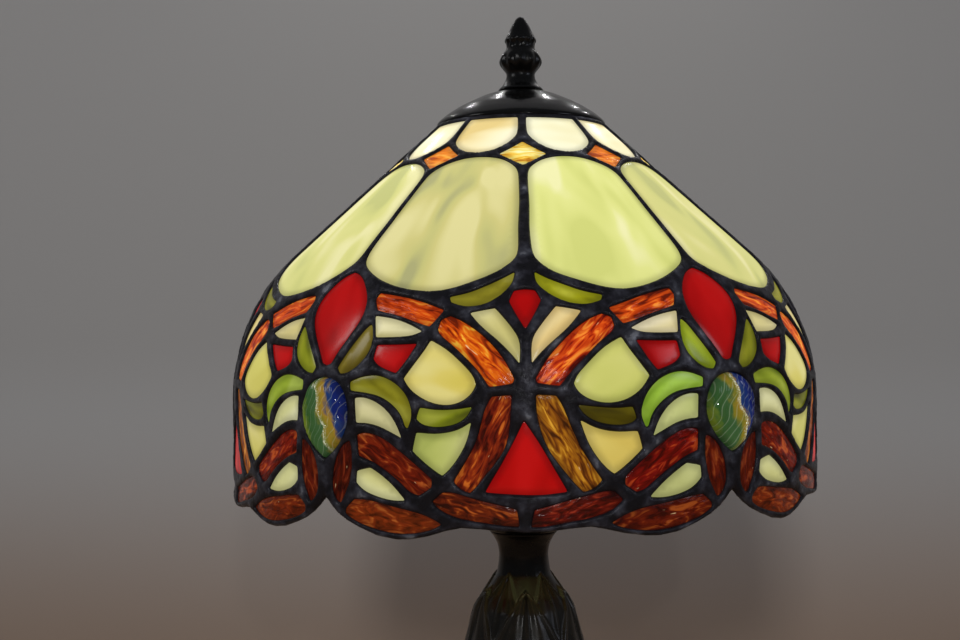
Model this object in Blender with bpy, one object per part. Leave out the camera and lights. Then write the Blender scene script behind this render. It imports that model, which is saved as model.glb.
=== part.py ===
"""A leaded-glass table lamp: a ten-sided domed shade of cut glass pieces soldered edge to edge,
hung by a spun cap and finial from a wire harp over one bulb, on a cast vase-shaped base.

Units are metres. The origin is on the floor under the lamp's axis, +Z is up and the front is -Y.
Angles round the shade are in degrees from the front, and places down its slope are lengths along
the outer face of the glass from the cap's rim.
"""

import math

import bmesh
import bpy
from mathutils import Matrix, Vector

MM = 0.001
GAP = 0.30 * MM  # clearance between touching pieces

# --- shade: driving dimensions -------------------------------------------------------------
SEAMS = 10  # radial seams, every second one carries a jewel
SECTOR = 360 / SEAMS
COLUMNS = 6  # facets across one panel
CAP_RIM_R = 44 * MM  # outer face of the glass at the cap
CAP_RIM_Z = 421.3 * MM
CONE_SLOPE = math.radians(42.5)  # below the horizontal
CONE_RUN = 101 * MM  # straight slope, then an arc down to a plumb skirt
ARC_RADIUS = 100 * MM
TURN = 0.6  # the shade sits turned this many degrees on its harp
LEAN = (0.38, 0.52, 164.0)  # hand-set seams lean near the rim: mean, swing and phase of it, in degrees
SLIP = 2.4 * MM  # the rows sit this much lower than they were drawn, except near the cap and the rim
LEAN_RUN = (100 * MM, 200 * MM)  # the lean grows between these lengths down the slope
GLASS = 3 * MM
LEAD_PROUD = 0.8 * MM  # solder stands this far out of the glass, on both faces
SEAM_HALF = 2.0 * MM  # half the width of a soldered seam
TOP_EDGE = 0.5 * MM
CROWN_TOP = 2.6 * MM
CROWN_BOTTOM = (17 * MM, 31 * MM)  # at a seam, and at the middle of a panel
CREAM_TOP = (45.5 * MM, 35 * MM)
CREAM_BOTTOM = (107 * MM, 125.8 * MM)
MOSAIC_TOP = (112 * MM, 129.8 * MM)
RIM_BEAD = 2.2 * MM
RIM_FRONT = 231.5 * MM  # scalloped rim at a plain seam
RIM_WAIST = (10.5, 229 * MM)  # shallow dip, degrees from the plain seam
RIM_LOBE = (21.0, 234.2 * MM)  # lowest point of a lobe
RIM_NOTCH = 219.8 * MM  # top of the notch under a jewel

JEWEL_S = 184 * MM
JEWEL_HALF_W = 12.6 * MM
JEWEL_HALF_H = 17.6 * MM
JEWEL_PROUD = 5 * MM
COLLAR = 2.6 * MM  # solder ring round a jewel

# --- cap, finial and harp -------------------------------------------------------------------
FINIAL_PROFILE = [(12.0, 440.3), (9.2, 443.4), (7.5, 446.8), (7.6, 449.8), (10.4, 453.0), (11.2, 456.4),
                  (10.4, 459.6), (7.8, 462.8), (7.3, 465.5), (7.9, 468.5), (6.1, 472.2), (4.5, 475.4),
                  (2.2, 479.0), (0.0, 480.2)]
FINIAL_BORE_R, FINIAL_BORE_TOP = 3.4, 458.0
CAP_OUTER = [(5.4, 439.9), (12.0, 439.9), (21.0, 437.1), (31.0, 432.4), (39.5, 427.2), (43.2, 424.0),
             (44.8, 421.95)]
CAP_INNER = [(43.2, 421.95), (38.6, 425.6), (30.2, 430.8), (20.4, 435.5), (12.0, 438.4), (5.4, 438.4)]
STUD_PROFILE = [(0.0, 434.3), (4.0, 434.3), (4.0, 436.2), (9.0, 436.2), (9.0, 438.1), (3.0, 438.1),
                (3.0, 456.5), (0.0, 457.2)]
HARP_WIRE_R = 2.0 * MM
HARP_HALF_WIDTH = 56 * MM
HARP_FOOT_X = 31 * MM
HARP_FOOT_Z = 230.3 * MM
HARP_STRAIGHT_Z = 262 * MM
HARP_TOP_Z = 432 * MM
FERRULE_Z = (216.6 * MM, 236.6 * MM)

# --- base, in millimetres (radius, height) ----------------------------------------------------
PIPE_R, PIPE_BORE_R = 5.0, 3.2
PIPE_Z = (2.6, 224.0)
BORE_R = 5.5  # clearance hole for the pipe
PAD_TOP = 1.5
FOOT_OUTER = [(76.0, 1.8), (76.0, 7.0), (73.5, 9.5), (68.0, 12.0), (60.0, 16.5), (46.0, 22.0), (34.0, 29.5),
              (26.0, 39.0), (22.5, 48.0)]
FOOT_INNER = [(BORE_R, 48.0), (BORE_R, 14.4), (12.0, 14.4), (13.0, 35.5), (18.5, 35.5), (27.0, 26.0),
              (40.0, 17.5), (55.0, 12.0), (68.0, 8.0), (71.0, 1.8)]
VASE_PROFILE = [(BORE_R, 48.3), (20.5, 48.3), (17.0, 53.0), (14.0, 62.0), (13.2, 75.0), (15.5, 90.0),
                (21.5, 105.0), (28.5, 119.0), (32.6, 131.0), (33.2, 139.0), (31.0, 149.5), (29.2, 155.0),
                (27.8, 161.0), (26.0, 167.5), (22.6, 174.0), (17.6, 180.4), (14.6, 184.4), (13.4, 190.0),
                (13.0, 195.0), (13.8, 200.0), (16.2, 204.5), (18.5, 207.0), (BORE_R, 207.0)]
CUP_PROFILE = [(BORE_R, 207.3), (19.0, 207.3), (21.5, 210.0), (22.0, 213.5), (19.5, 213.5), (18.6, 210.4),
               (BORE_R, 210.4)]
WEIGHT_PROFILE = [(6.5, 6.6), (50.0, 6.6), (50.0, 10.8), (36.0, 14.1), (6.5, 14.1)]
FOOT_NUT_Z = (2.7, 6.3)
SEAT_NUT_Z = (210.7, 214.2)
NUT_R = (6.4, 9.4)  # hexagon, over corners
FOOT_BUSHING_Z = 9.0

# --- lampholder and bulb, in millimetres ---------------------------------------------------------
SADDLE_Z = 214.5
SADDLE_T, SADDLE_W = 1.6, 12.0
HOLDER_CAP = [(BORE_R, 216.5), (9.0, 216.5), (9.5, 222.0), (15.0, 227.0), (18.2, 233.0), (18.2, 236.5),
              (17.0, 236.5), (17.0, 233.6), (8.0, 225.4), (BORE_R, 225.4)]
HOLDER_SHELL = [(16.6, 236.8), (17.8, 236.8), (18.3, 240.0), (18.3, 274.0), (19.2, 277.5), (16.6, 277.5)]
HOLDER_INSULATOR = [(4.5, 234.0), (16.2, 234.0), (16.2, 276.0), (14.4, 276.0), (14.4, 238.5), (4.5, 238.5)]
SCREW_SHELL = [(8.0, 238.9), (14.0, 238.9), (14.0, 271.0), (13.3, 271.0), (13.3, 240.2), (8.0, 240.2)]
CENTRE_CONTACT = [(0.0, 236.0), (4.1, 236.0), (4.1, 242.5), (2.5, 243.6), (0.0, 243.6)]
BULB_CAP = [(0.0, 244.0), (4.5, 244.0), (12.4, 250.5), (12.9, 252.0), (12.9, 275.0), (0.0, 275.0)]
BULB_OUTER = [(12.6, 275.3), (14.0, 283.0), (20.0, 297.0), (27.2, 310.0), (30.0, 325.0), (27.4, 339.0),
              (19.5, 350.0), (9.0, 355.5), (0.0, 357.0)]
BULB_WALL = 1.0
KNOB_Z = 250 * MM
KNOB_STEM_Y = (16.6 * MM, 28 * MM)
KNOB_STEM_R = 2.0 * MM


# --- tools -----------------------------------------------------------------------------------------

def clear_scene():
    for obj in list(bpy.data.objects):
        bpy.data.objects.remove(obj)


def material(name, colour, roughness, metallic=0.0):
    made = bpy.data.materials.new(name)
    made.use_nodes = True
    shader = made.node_tree.nodes["Principled BSDF"]
    shader.inputs["Base Color"].default_value = (*colour, 1)
    shader.inputs["Roughness"].default_value = roughness
    shader.inputs["Metallic"].default_value = metallic
    return made


def add_object(name, mesh, finish, parent=None, origin=(0, 0, 0)):
    """Puts a mesh made in world coordinates into the scene, with its origin moved to the given point."""
    mesh.transform(Matrix.Translation(-Vector(origin)))
    obj = bpy.data.objects.new(name, mesh)
    obj.location = origin
    obj.data.materials.append(finish)
    bpy.context.scene.collection.objects.link(obj)
    if parent:
        obj.parent = parent
    return obj


def mesh_of(name, bm):
    bmesh.ops.recalc_face_normals(bm, faces=bm.faces)
    mesh = bpy.data.meshes.new(name)
    bm.to_mesh(mesh)
    bm.free()
    mesh.shade_smooth()
    mesh.set_sharp_from_angle(angle=math.radians(35))
    return mesh


def turned(name, profile_mm, steps=24, closed=True):
    """Spins a profile of (radius, height) in millimetres round Z. An open profile starts and ends on the axis."""
    bm = bmesh.new()
    verts = [bm.verts.new((r * MM, 0, z * MM)) for r, z in profile_mm]
    ends = [*zip(verts, verts[1:])] + ([(verts[-1], verts[0])] if closed else [])
    edges = [bm.edges.new(pair) for pair in ends]
    bmesh.ops.spin(bm, geom=verts + edges, cent=(0, 0, 0), axis=(0, 0, 1), angle=math.tau, steps=steps,
                   use_merge=True)
    bmesh.ops.remove_doubles(bm, verts=bm.verts, dist=0.01 * MM)
    return mesh_of(name, bm)


def subtract(obj, cutter):
    cut = obj.modifiers.new("cut_" + cutter.name, "BOOLEAN")
    cut.operation = "DIFFERENCE"
    cut.object = cutter
    cutter.hide_render = True
    cutter.display_type = "WIRE"


def empty(name, location=(0, 0, 0), parent=None):
    made = bpy.data.objects.new(name, None)
    made.location = location
    bpy.context.scene.collection.objects.link(made)
    made.parent = parent
    return made


# --- the shade's surface -------------------------------------------------------------------------

def profile(s):
    """(radius, height, outward radial part, upward part) of the glass's outer face at length s down it."""
    if s < CONE_RUN:
        turn = CONE_SLOPE
        r = CAP_RIM_R + s * math.cos(turn)
        z = CAP_RIM_Z - s * math.sin(turn)
    else:
        turn = min(CONE_SLOPE + (s - CONE_RUN) / ARC_RADIUS, math.pi / 2)
        plumb = max(0, s - CONE_RUN - (math.pi / 2 - CONE_SLOPE) * ARC_RADIUS)
        r = CAP_RIM_R + CONE_RUN * math.cos(CONE_SLOPE) + ARC_RADIUS * (math.sin(turn) - math.sin(CONE_SLOPE))
        z = CAP_RIM_Z - CONE_RUN * math.sin(CONE_SLOPE) - ARC_RADIUS * (math.cos(CONE_SLOPE) - math.cos(turn))
        z -= plumb
    return r, z, math.sin(turn), math.cos(turn)


def lean(angle, s):
    """Degrees by which a place on the shade has slipped round from its even spacing: three swings in a turn."""
    mean, swing, phase = LEAN
    share = min(max((s - LEAN_RUN[0]) / (LEAN_RUN[1] - LEAN_RUN[0]), 0.0), 1.0)
    return (mean + swing * math.cos(math.radians(3 * angle - phase))) * share * share * (3 - 2 * share)


def slip(s):
    """Metres by which a place at length s sits lower than it was drawn."""
    down = min(max((s - 10 * MM) / (50 * MM), 0.0), 1.0)
    back = min(max((s - 195 * MM) / (37 * MM), 0.0), 1.0)
    return SLIP * down * down * (3 - 2 * down) * (1 - 0.75 * back * back * (3 - 2 * back))


def on_shade(angle, s, out):
    """The point at an angle in degrees, length s down the slope, out metres off the glass's outer face."""
    r, z, radial, upward = profile(s + slip(s))
    r += out * radial
    turn = math.radians(angle + TURN + lean(angle, s))
    return Vector((r * math.sin(turn), -r * math.cos(turn), z + out * upward))


def scallop(ends, across):
    """A row line: ends[0] at the seams (across 0 or 1) and ends[1] in the middle of a panel."""
    return ends[0] + (ends[1] - ends[0]) * math.sin(math.pi * across) ** 0.8


def rim(from_plain):
    """The shade's lower edge at an angle of 0 (plain seam) to 36 degrees (jewel seam)."""
    points = [(0.0, RIM_FRONT), RIM_WAIST, RIM_LOBE, (SECTOR, RIM_NOTCH)]
    for (a0, s0), (a1, s1) in zip(points, points[1:]):
        if from_plain <= a1:
            share = (from_plain - a0) / (a1 - a0)
            if a1 == SECTOR:
                return s0 + (s1 - s0) * share ** 2.2
            return s0 + (s1 - s0) * (1 - math.cos(math.pi * share)) / 2
    return RIM_NOTCH


def row_lines(across, odd):
    """Row lines down one sector at a share across it. An odd sector runs from a jewel to a plain seam."""
    edge = rim(SECTOR * (1 - across if odd else across))
    cream_top, cream_bottom = scallop(CREAM_TOP, across), scallop(CREAM_BOTTOM, across)
    mosaic_top = scallop(MOSAIC_TOP, across)
    mosaic_bottom = edge - RIM_BEAD
    mosaic = [mosaic_top + (mosaic_bottom - mosaic_top) * share for share in (0, 0.27, 0.55, 1)]
    return {
        "top": TOP_EDGE,
        "crown": [CROWN_TOP, scallop(CROWN_BOTTOM, across)],
        "cream": [cream_top, (cream_top + cream_bottom) / 2 + 8 * MM, cream_bottom],
        "mosaic": mosaic,
        "rim": edge,
    }


def angle_in(sector, column, s, inset=0.0):
    """Angle of a column line (0 to COLUMNS) of one sector, whose outer columns stand off the seams."""
    r = profile(s)[0]
    margin = math.degrees((SEAM_HALF + inset) / r)
    return sector * SECTOR + margin + (SECTOR - 2 * margin) * column / COLUMNS


def share_in(sector, angle):
    return min(max((angle - sector * SECTOR) / SECTOR, 0.0), 1.0)


def panel_mesh(name, sector, row):
    """One row's glass in one sector: a slab whose four edges keep clear of the solder."""
    odd = sector % 2 == 1
    bm = bmesh.new()
    layers = []
    for out in (-GAP, -GAP - GLASS):
        grid = []
        for column in range(COLUMNS + 1):
            rows = len(row_lines(0.5, odd)[row])
            line = []
            for i in range(rows):
                across = column / COLUMNS
                s = row_lines(across, odd)[row][i]
                angle = angle_in(sector, column, s, inset=GAP)
                s = row_lines(share_in(sector, angle), odd)[row][i]
                s += GAP if i == 0 else -GAP if i == rows - 1 else 0
                line.append(bm.verts.new(on_shade(angle, s, out)))
            grid.append(line)
        layers.append(grid)
    close_slab(bm, layers, [[True] * (len(layers[0][0]) - 1)] * COLUMNS)
    return mesh_of(name, bm)


def close_slab(bm, layers, filled, wrap=False):
    """Faces of a slab whose two layers are grids of vertices, only over the filled cells, with side walls."""
    outer, inner = layers
    columns, rows = len(filled), len(filled[0])

    def is_filled(c, r):
        if wrap:
            c %= columns
        return 0 <= c < columns and 0 <= r < rows and filled[c][r]

    for c in range(columns):
        d = (c + 1) % len(outer)
        for r in range(rows):
            if not filled[c][r]:
                continue
            bm.faces.new((outer[c][r], outer[c][r + 1], outer[d][r + 1], outer[d][r]))
            bm.faces.new((inner[c][r], inner[d][r], inner[d][r + 1], inner[c][r + 1]))
            walls = (((c - 1, r), (c, r), (c, r + 1)), ((c + 1, r), (d, r + 1), (d, r)),
                     ((c, r - 1), (d, r), (c, r)), ((c, r + 1), (c, r + 1), (d, r + 1)))
            for neighbour, (a, i), (b, j) in walls:
                if not is_filled(*neighbour):
                    bm.faces.new((outer[b][j], outer[a][i], inner[a][i], inner[b][j]))


def lattice_mesh():
    """The soldered network: every seam and row line of the shade as one piece, open where the glass sits."""
    bm = bmesh.new()
    rows_filled = [True, False, True, False, False, True, False, False, False, True]
    layers = []
    for out in (LEAD_PROUD, -GAP - GLASS - LEAD_PROUD):
        grid = []
        for sector in range(SEAMS):
            odd = sector % 2 == 1
            for column in range(COLUMNS + 1):
                line = []
                names = row_lines(0.5, odd)
                count = 2 + sum(len(names[row]) for row in ("crown", "cream", "mosaic"))
                for i in range(count):
                    s = flat_lines(column / COLUMNS, odd)[i]
                    angle = angle_in(sector, column, s)
                    s = flat_lines(share_in(sector, angle), odd)[i]
                    line.append(bm.verts.new(on_shade(angle, s, out)))
                grid.append(line)
        layers.append(grid)
    columns = SEAMS * (COLUMNS + 1)
    filled = []
    for c in range(columns):
        seam = c % (COLUMNS + 1) == COLUMNS
        filled.append([True if seam else row for row in rows_filled])
    close_slab(bm, layers, filled, wrap=True)
    return mesh_of("solder_lattice", bm)


def flat_lines(across, odd):
    lines = row_lines(across, odd)
    return [lines["top"], *lines["crown"], *lines["cream"], *lines["mosaic"], lines["rim"]]


def jewel_outline(seam, grow):
    """(angle, s) round a pointed oval centred on a seam, grown outwards by some metres."""
    r = profile(JEWEL_S)[0]
    shape = [(0, -1), (0.55, -0.78), (0.92, -0.42), (1, 0), (0.86, 0.4), (0.45, 0.78), (0, 1)]
    shape += [(-x, y) for x, y in reversed(shape[1:-1])]
    return [(seam * SECTOR + math.degrees(x * (JEWEL_HALF_W + grow) / r), JEWEL_S + y * (JEWEL_HALF_H + grow * 1.25))
            for x, y in shape]


def stacked(name, rings, middle):
    """A closed body through rings of points on the shade, given as (outline, out), capped at both ends."""
    bm = bmesh.new()
    loops = [[bm.verts.new(on_shade(angle, s, out)) for angle, s in outline] for outline, out in rings]
    count = len(loops[0])
    for lower, upper in zip(loops, loops[1:]):
        for i in range(count):
            j = (i + 1) % count
            bm.faces.new((lower[i], lower[j], upper[j], upper[i]))
    for loop, out in ((loops[0], rings[0][1]), (loops[-1], rings[-1][1])):
        hub = bm.verts.new(on_shade(*middle, out))
        for i in range(count):
            bm.faces.new((loop[i], loop[(i + 1) % count], hub))
    return mesh_of(name, bm)


# --- pieces ---------------------------------------------------------------------------------------

def make_shade(finishes, body):
    jewels, holes, plugs, clearances = [], [], [], []
    back = -GAP - GLASS - LEAD_PROUD
    cutters = {name: bpy.data.collections.new(name) for name in ("holes", "plugs", "clearances")}
    for number, seam in enumerate(range(1, SEAMS, 2), start=1):
        middle = (seam * SECTOR, JEWEL_S)
        body_rings = [(jewel_outline(seam, 0), -GLASS), (jewel_outline(seam, 0), LEAD_PROUD),
                      (jewel_outline(seam, -5 * MM), JEWEL_PROUD)]
        mesh = stacked(f"jewel_{number}", body_rings, middle)
        jewels.append(add_object(f"jewel_{number}", mesh, finishes["jewel"], body))
        for kind, grow, low, high in (("holes", GAP, -14 * MM, 14 * MM), ("plugs", COLLAR, back, LEAD_PROUD),
                                      ("clearances", COLLAR + GAP, -14 * MM, 14 * MM)):
            outline = jewel_outline(seam, grow)
            mesh = stacked(f"{kind}_{number}", [(outline, low), (outline, high)], middle)
            helper = bpy.data.objects.new(f"{kind}_{number}", mesh)
            helper.hide_render = True
            helper.display_type = "WIRE"
            cutters[kind].objects.link(helper)
    for collection in cutters.values():
        bpy.context.scene.collection.children.link(collection)
        collection.hide_render = True

    lattice = add_object("solder_lattice", lattice_mesh(), finishes["solder"], body)
    for operation, kind in (("UNION", "plugs"), ("DIFFERENCE", "holes")):
        change = lattice.modifiers.new(kind, "BOOLEAN")
        change.operation = operation
        change.operand_type = "COLLECTION"
        change.collection = cutters[kind]

    for row, finish in (("crown", "cream_glass"), ("cream", "cream_glass"), ("mosaic", "amber_glass")):
        for sector in range(SEAMS):
            name = f"{row}_panel_{sector + 1:02d}"
            panel = add_object(name, panel_mesh(name, sector, row), finishes[finish], body)
            if row == "mosaic":
                seam = sector + 1 if sector % 2 == 0 else sector
                subtract(panel, cutters["clearances"].objects[f"clearances_{(seam + 1) // 2}"])

    add_object("vase_cap", turned("vase_cap", CAP_OUTER + CAP_INNER, 30), finishes["bronze"], body)


def make_finial(finishes, body):
    bore = [(0.0, FINIAL_BORE_TOP), (FINIAL_BORE_R, FINIAL_BORE_TOP), (FINIAL_BORE_R, FINIAL_PROFILE[0][1])]
    add_object("finial", turned("finial", bore + FINIAL_PROFILE, 16, closed=False), finishes["bronze"], body)


def harp_route():
    """Centre line of the harp: two straight feet, a bowed loop and a short flat top under the stud."""
    half = [(HARP_FOOT_X, HARP_FOOT_Z), (HARP_FOOT_X, HARP_STRAIGHT_Z)]
    bow = [(HARP_FOOT_X, 0.0), (HARP_FOOT_X, 0.03), (HARP_HALF_WIDTH, 0.2), (HARP_HALF_WIDTH, 0.46),
           (HARP_HALF_WIDTH * 0.98, 0.8), (HARP_HALF_WIDTH * 0.42, 0.985), (5 * MM, 1.0), (0, 1.0)]
    samples = 15
    for i in range(1, samples + 1):
        t = i / samples
        terms = [math.comb(len(bow) - 1, k) * t ** k * (1 - t) ** (len(bow) - 1 - k) for k in range(len(bow))]
        x = sum(term * point[0] for term, point in zip(terms, bow))
        rise = sum(term * point[1] for term, point in zip(terms, bow))
        half.append((x, HARP_STRAIGHT_Z + rise * (HARP_TOP_Z - HARP_STRAIGHT_Z)))
    return [(-x, z) for x, z in half] + [(x, z) for x, z in reversed(half[:-1])]


def make_harp(finishes, base):
    curve = bpy.data.curves.new("harp_loop", "CURVE")
    curve.dimensions = "3D"
    curve.bevel_depth = HARP_WIRE_R
    curve.bevel_resolution = 1
    curve.use_fill_caps = True
    spline = curve.splines.new("POLY")
    route = harp_route()
    spline.points.add(len(route) - 1)
    for point, (x, z) in zip(spline.points, route):
        point.co = (x, 0, z, 1)
    curve.materials.append(finishes["brass"])
    loop = bpy.data.objects.new("harp_loop", curve)
    loop.parent = base
    bpy.context.scene.collection.objects.link(loop)

    stud_mesh = turned("harp_stud", STUD_PROFILE, 16, closed=False)
    add_object("harp_stud", stud_mesh, finishes["brass"], base)

    saddle = bmesh.new()
    half, t, z = HARP_FOOT_X / MM, SADDLE_T / 2, SADDLE_Z
    strap = [(-half - 2, z), (half + 2, z), (half + 2, HARP_FOOT_Z / MM - 0.3), (half - 2, HARP_FOOT_Z / MM - 0.3),
             (half - 2, z + 2 * t), (-half + 2, z + 2 * t), (-half + 2, HARP_FOOT_Z / MM - 0.3),
             (-half - 2, HARP_FOOT_Z / MM - 0.3)]
    face = saddle.faces.new([saddle.verts.new((x * MM, -2 * MM, y * MM)) for x, y in strap])
    pushed = bmesh.ops.extrude_face_region(saddle, geom=[face])["geom"]
    bmesh.ops.translate(saddle, verts=[v for v in pushed if isinstance(v, bmesh.types.BMVert)],
                        vec=(0, 4 * MM, 0))
    plate = add_object("harp_saddle", mesh_of("harp_saddle", saddle), finishes["brass"], base)
    washer = add_object("saddle_eye", turned("saddle_eye", [(0, z), (SADDLE_W, z), (SADDLE_W, z + 2 * t),
                                                            (0, z + 2 * t)], 16, closed=False), finishes["brass"])
    joined = plate.modifiers.new("eye", "BOOLEAN")
    joined.operation = "UNION"
    joined.object = washer
    washer.hide_render = True
    washer.display_type = "WIRE"
    drill = add_object("saddle_drill", turned("saddle_drill", [(0, z - 3), (BORE_R, z - 3), (BORE_R, z + 6),
                                                               (0, z + 6)], 16, closed=False), finishes["brass"])
    subtract(plate, drill)

    low, high = (limit / MM for limit in FERRULE_Z)
    for side, name in ((-1, "left"), (1, "right")):
        pin = empty(f"ferrule_{name}_slide", (side * HARP_FOOT_X, 0, FERRULE_Z[0]), base)
        sleeve = turned(f"harp_ferrule_{name}", [(3.2, low), (4.4, low), (4.4, high), (3.2, high)], 12)
        sleeve.transform(Matrix.Translation((0, 0, -FERRULE_Z[0])))
        obj = bpy.data.objects.new(f"harp_ferrule_{name}", sleeve)
        obj.data.materials.append(finishes["brass"])
        bpy.context.scene.collection.objects.link(obj)
        obj.parent = pin


def make_lampholder(finishes, base):
    shell = add_object("lampholder_shell", turned("lampholder_shell", HOLDER_SHELL, 20), finishes["brass"], base)
    for name, shape, finish in (("lampholder_cap", HOLDER_CAP, "brass"),
                                ("lampholder_insulator", HOLDER_INSULATOR, "fibre"),
                                ("screw_shell", SCREW_SHELL, "brass")):
        add_object(name, turned(name, shape, 16), finishes[finish], base)
    add_object("centre_contact", turned("centre_contact", CENTRE_CONTACT, 12, closed=False), finishes["brass"], base)

    drill = bmesh.new()
    bmesh.ops.create_cone(drill, cap_ends=True, segments=16, radius1=2.6 * MM, radius2=2.6 * MM, depth=10 * MM,
                          matrix=Matrix.Translation((0, 19 * MM, KNOB_Z)) @ Matrix.Rotation(math.pi / 2, 4, "X"))
    subtract(shell, add_object("switch_drill", mesh_of("switch_drill", drill), finishes["brass"]))

    pin = empty("switch_pin", (0, KNOB_STEM_Y[0], KNOB_Z), base)
    length = KNOB_STEM_Y[1] - KNOB_STEM_Y[0]
    stem = bmesh.new()
    bmesh.ops.create_cone(stem, cap_ends=True, segments=12, radius1=KNOB_STEM_R, radius2=KNOB_STEM_R, depth=length,
                          matrix=Matrix.Translation((0, length / 2, 0)) @ Matrix.Rotation(math.pi / 2, 4, "X"))
    knob = bpy.data.objects.new("switch_knob", mesh_of("switch_knob", stem))
    knob.data.materials.append(finishes["fibre"])
    bpy.context.scene.collection.objects.link(knob)
    knob.parent = pin
    wing = bmesh.new()
    bmesh.ops.create_cube(wing, size=1)
    bmesh.ops.scale(wing, verts=wing.verts, vec=(17 * MM, 11 * MM, 6 * MM))
    bmesh.ops.bevel(wing, geom=wing.edges[:], offset=2 * MM, segments=1, affect="EDGES")
    bmesh.ops.translate(wing, verts=wing.verts, vec=(0, length + 3 * MM, 0))
    helper = bpy.data.objects.new("knob_wing", mesh_of("knob_wing", wing))
    helper.parent = pin
    helper.hide_render = True
    helper.display_type = "WIRE"
    bpy.context.scene.collection.objects.link(helper)
    joined = knob.modifiers.new("wing", "BOOLEAN")
    joined.operation = "UNION"
    joined.object = helper


def make_bulb(finishes, body):
    add_object("bulb_cap", turned("bulb_cap", BULB_CAP, 16, closed=False), finishes["tin"], body)
    inner = [(max(r - BULB_WALL, 0.0), z - (BULB_WALL if i > 4 else 0.0)) for i, (r, z) in enumerate(BULB_OUTER)]
    mesh = turned("bulb_glass", BULB_OUTER[::-1] + inner, 16, closed=False)
    add_object("bulb_glass", mesh, finishes["frosted_glass"], body)


def hexagon(name, low, high):
    return turned(name, [(NUT_R[0], low), (NUT_R[1], low), (NUT_R[1], high), (NUT_R[0], high)], 6)


def make_base(finishes, base):
    pieces = (
        ("felt_pad", [(0.0, 0.0), (74.0, 0.0), (74.0, PAD_TOP), (0.0, PAD_TOP)], 28, False, "felt"),
        ("base_foot", FOOT_OUTER + FOOT_INNER, 28, True, "bronze"),
        ("base_weight", WEIGHT_PROFILE, 20, True, "iron"),
        ("base_vase", VASE_PROFILE, 20, True, "bronze"),
        ("seat_cup", CUP_PROFILE, 16, True, "bronze"),
        ("threaded_pipe", [(PIPE_BORE_R, PIPE_Z[0]), (PIPE_R, PIPE_Z[0]), (PIPE_R, PIPE_Z[1]),
                           (PIPE_BORE_R, PIPE_Z[1])], 12, True, "tin"),
    )
    for name, shape, steps, closed, finish in pieces:
        add_object(name, turned(name, shape, steps, closed), finishes[finish], base)
    add_object("foot_nut", hexagon("foot_nut", *FOOT_NUT_Z), finishes["tin"], base)
    add_object("seat_nut", hexagon("seat_nut", *SEAT_NUT_Z), finishes["tin"], base)


def make_cord_bushing(finishes, base):
    """A grommet in the back of the foot, where the mains lead enters."""
    turn = Matrix.Rotation(-math.pi / 2, 4, "X")
    place = Matrix.Translation((0, 0, FOOT_BUSHING_Z * MM)) @ turn
    ring = turned("cord_bushing", [(2.6, 60.0), (3.9, 60.0), (3.9, 75.2), (2.6, 75.2)], 14)
    ring.transform(place)
    add_object("cord_bushing", ring, finishes["fibre"], base)
    drill = turned("bushing_drill", [(0.0, 50.0), (4.2, 50.0), (4.2, 90.0), (0.0, 90.0)], 14, closed=False)
    drill.transform(place)
    cutter = add_object("bushing_drill", drill, finishes["fibre"])
    subtract(bpy.data.objects["base_foot"], cutter)


def main():
    clear_scene()
    finishes = {
        "cream_glass": material("opal cream glass", (0.78, 0.76, 0.48), 0.15),
        "amber_glass": material("amber cathedral glass", (0.45, 0.12, 0.02), 0.15),
        "jewel": material("pressed glass jewel", (0.03, 0.06, 0.2), 0.08),
        "solder": material("black patinated solder", (0.02, 0.018, 0.022), 0.38, 0.8),
        "bronze": material("dark bronze enamel", (0.012, 0.01, 0.009), 0.28, 0.3),
        "brass": material("lacquered brass", (0.55, 0.38, 0.13), 0.3, 1.0),
        "tin": material("plated steel", (0.6, 0.6, 0.62), 0.3, 1.0),
        "iron": material("cast iron", (0.05, 0.05, 0.05), 0.7, 0.6),
        "fibre": material("black phenolic", (0.02, 0.02, 0.02), 0.45),
        "felt": material("green felt", (0.03, 0.09, 0.04), 0.95),
        "frosted_glass": material("frosted bulb glass", (0.9, 0.88, 0.8), 0.4),
    }
    base = empty("base")
    shade = empty("shade_lift", (0, 0, HARP_TOP_Z), base)
    shade_frame = empty("shade_frame", (0, 0, -HARP_TOP_Z), shade)
    finial = empty("finial_turn", parent=shade_frame)
    bulb = empty("bulb_turn", parent=base)
    make_base(finishes, base)
    make_cord_bushing(finishes, base)
    make_harp(finishes, base)
    make_lampholder(finishes, base)
    make_bulb(finishes, bulb)
    make_shade(finishes, shade_frame)
    make_finial(finishes, finial)


main()
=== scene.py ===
"""Leaded-glass table lamp: the soldered art glass shade, its cap, finial and harp, and the cast base.

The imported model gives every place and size. A point on the shade is named by its angle round from
the front, and by the length down the glass from the cap, as on a paper pattern laid on the form.
"""

import math

import bmesh
import bpy
import numpy as np
from mathutils import Matrix, Vector, noise
from mathutils.geometry import delaunay_2d_cdt


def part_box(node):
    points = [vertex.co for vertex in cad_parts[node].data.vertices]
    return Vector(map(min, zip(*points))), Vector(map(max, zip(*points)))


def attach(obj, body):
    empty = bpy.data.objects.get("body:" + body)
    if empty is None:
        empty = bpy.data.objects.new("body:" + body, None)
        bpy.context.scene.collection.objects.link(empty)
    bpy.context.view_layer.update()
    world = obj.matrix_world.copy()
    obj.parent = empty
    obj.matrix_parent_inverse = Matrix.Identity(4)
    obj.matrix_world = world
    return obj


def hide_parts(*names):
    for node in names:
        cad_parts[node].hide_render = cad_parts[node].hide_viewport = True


bl_info = {
    "name": "Leaded Glass Lamp",
    "version": (1, 0, 0),
    "blender": (4, 5, 0),
    "location": "View3D > Sidebar > Lamp",
    "description": "Builds a lamp's soldered glass shade, cap, finial, harp, bulb and cast base on its frame",
    "category": "Object",
}

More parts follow.
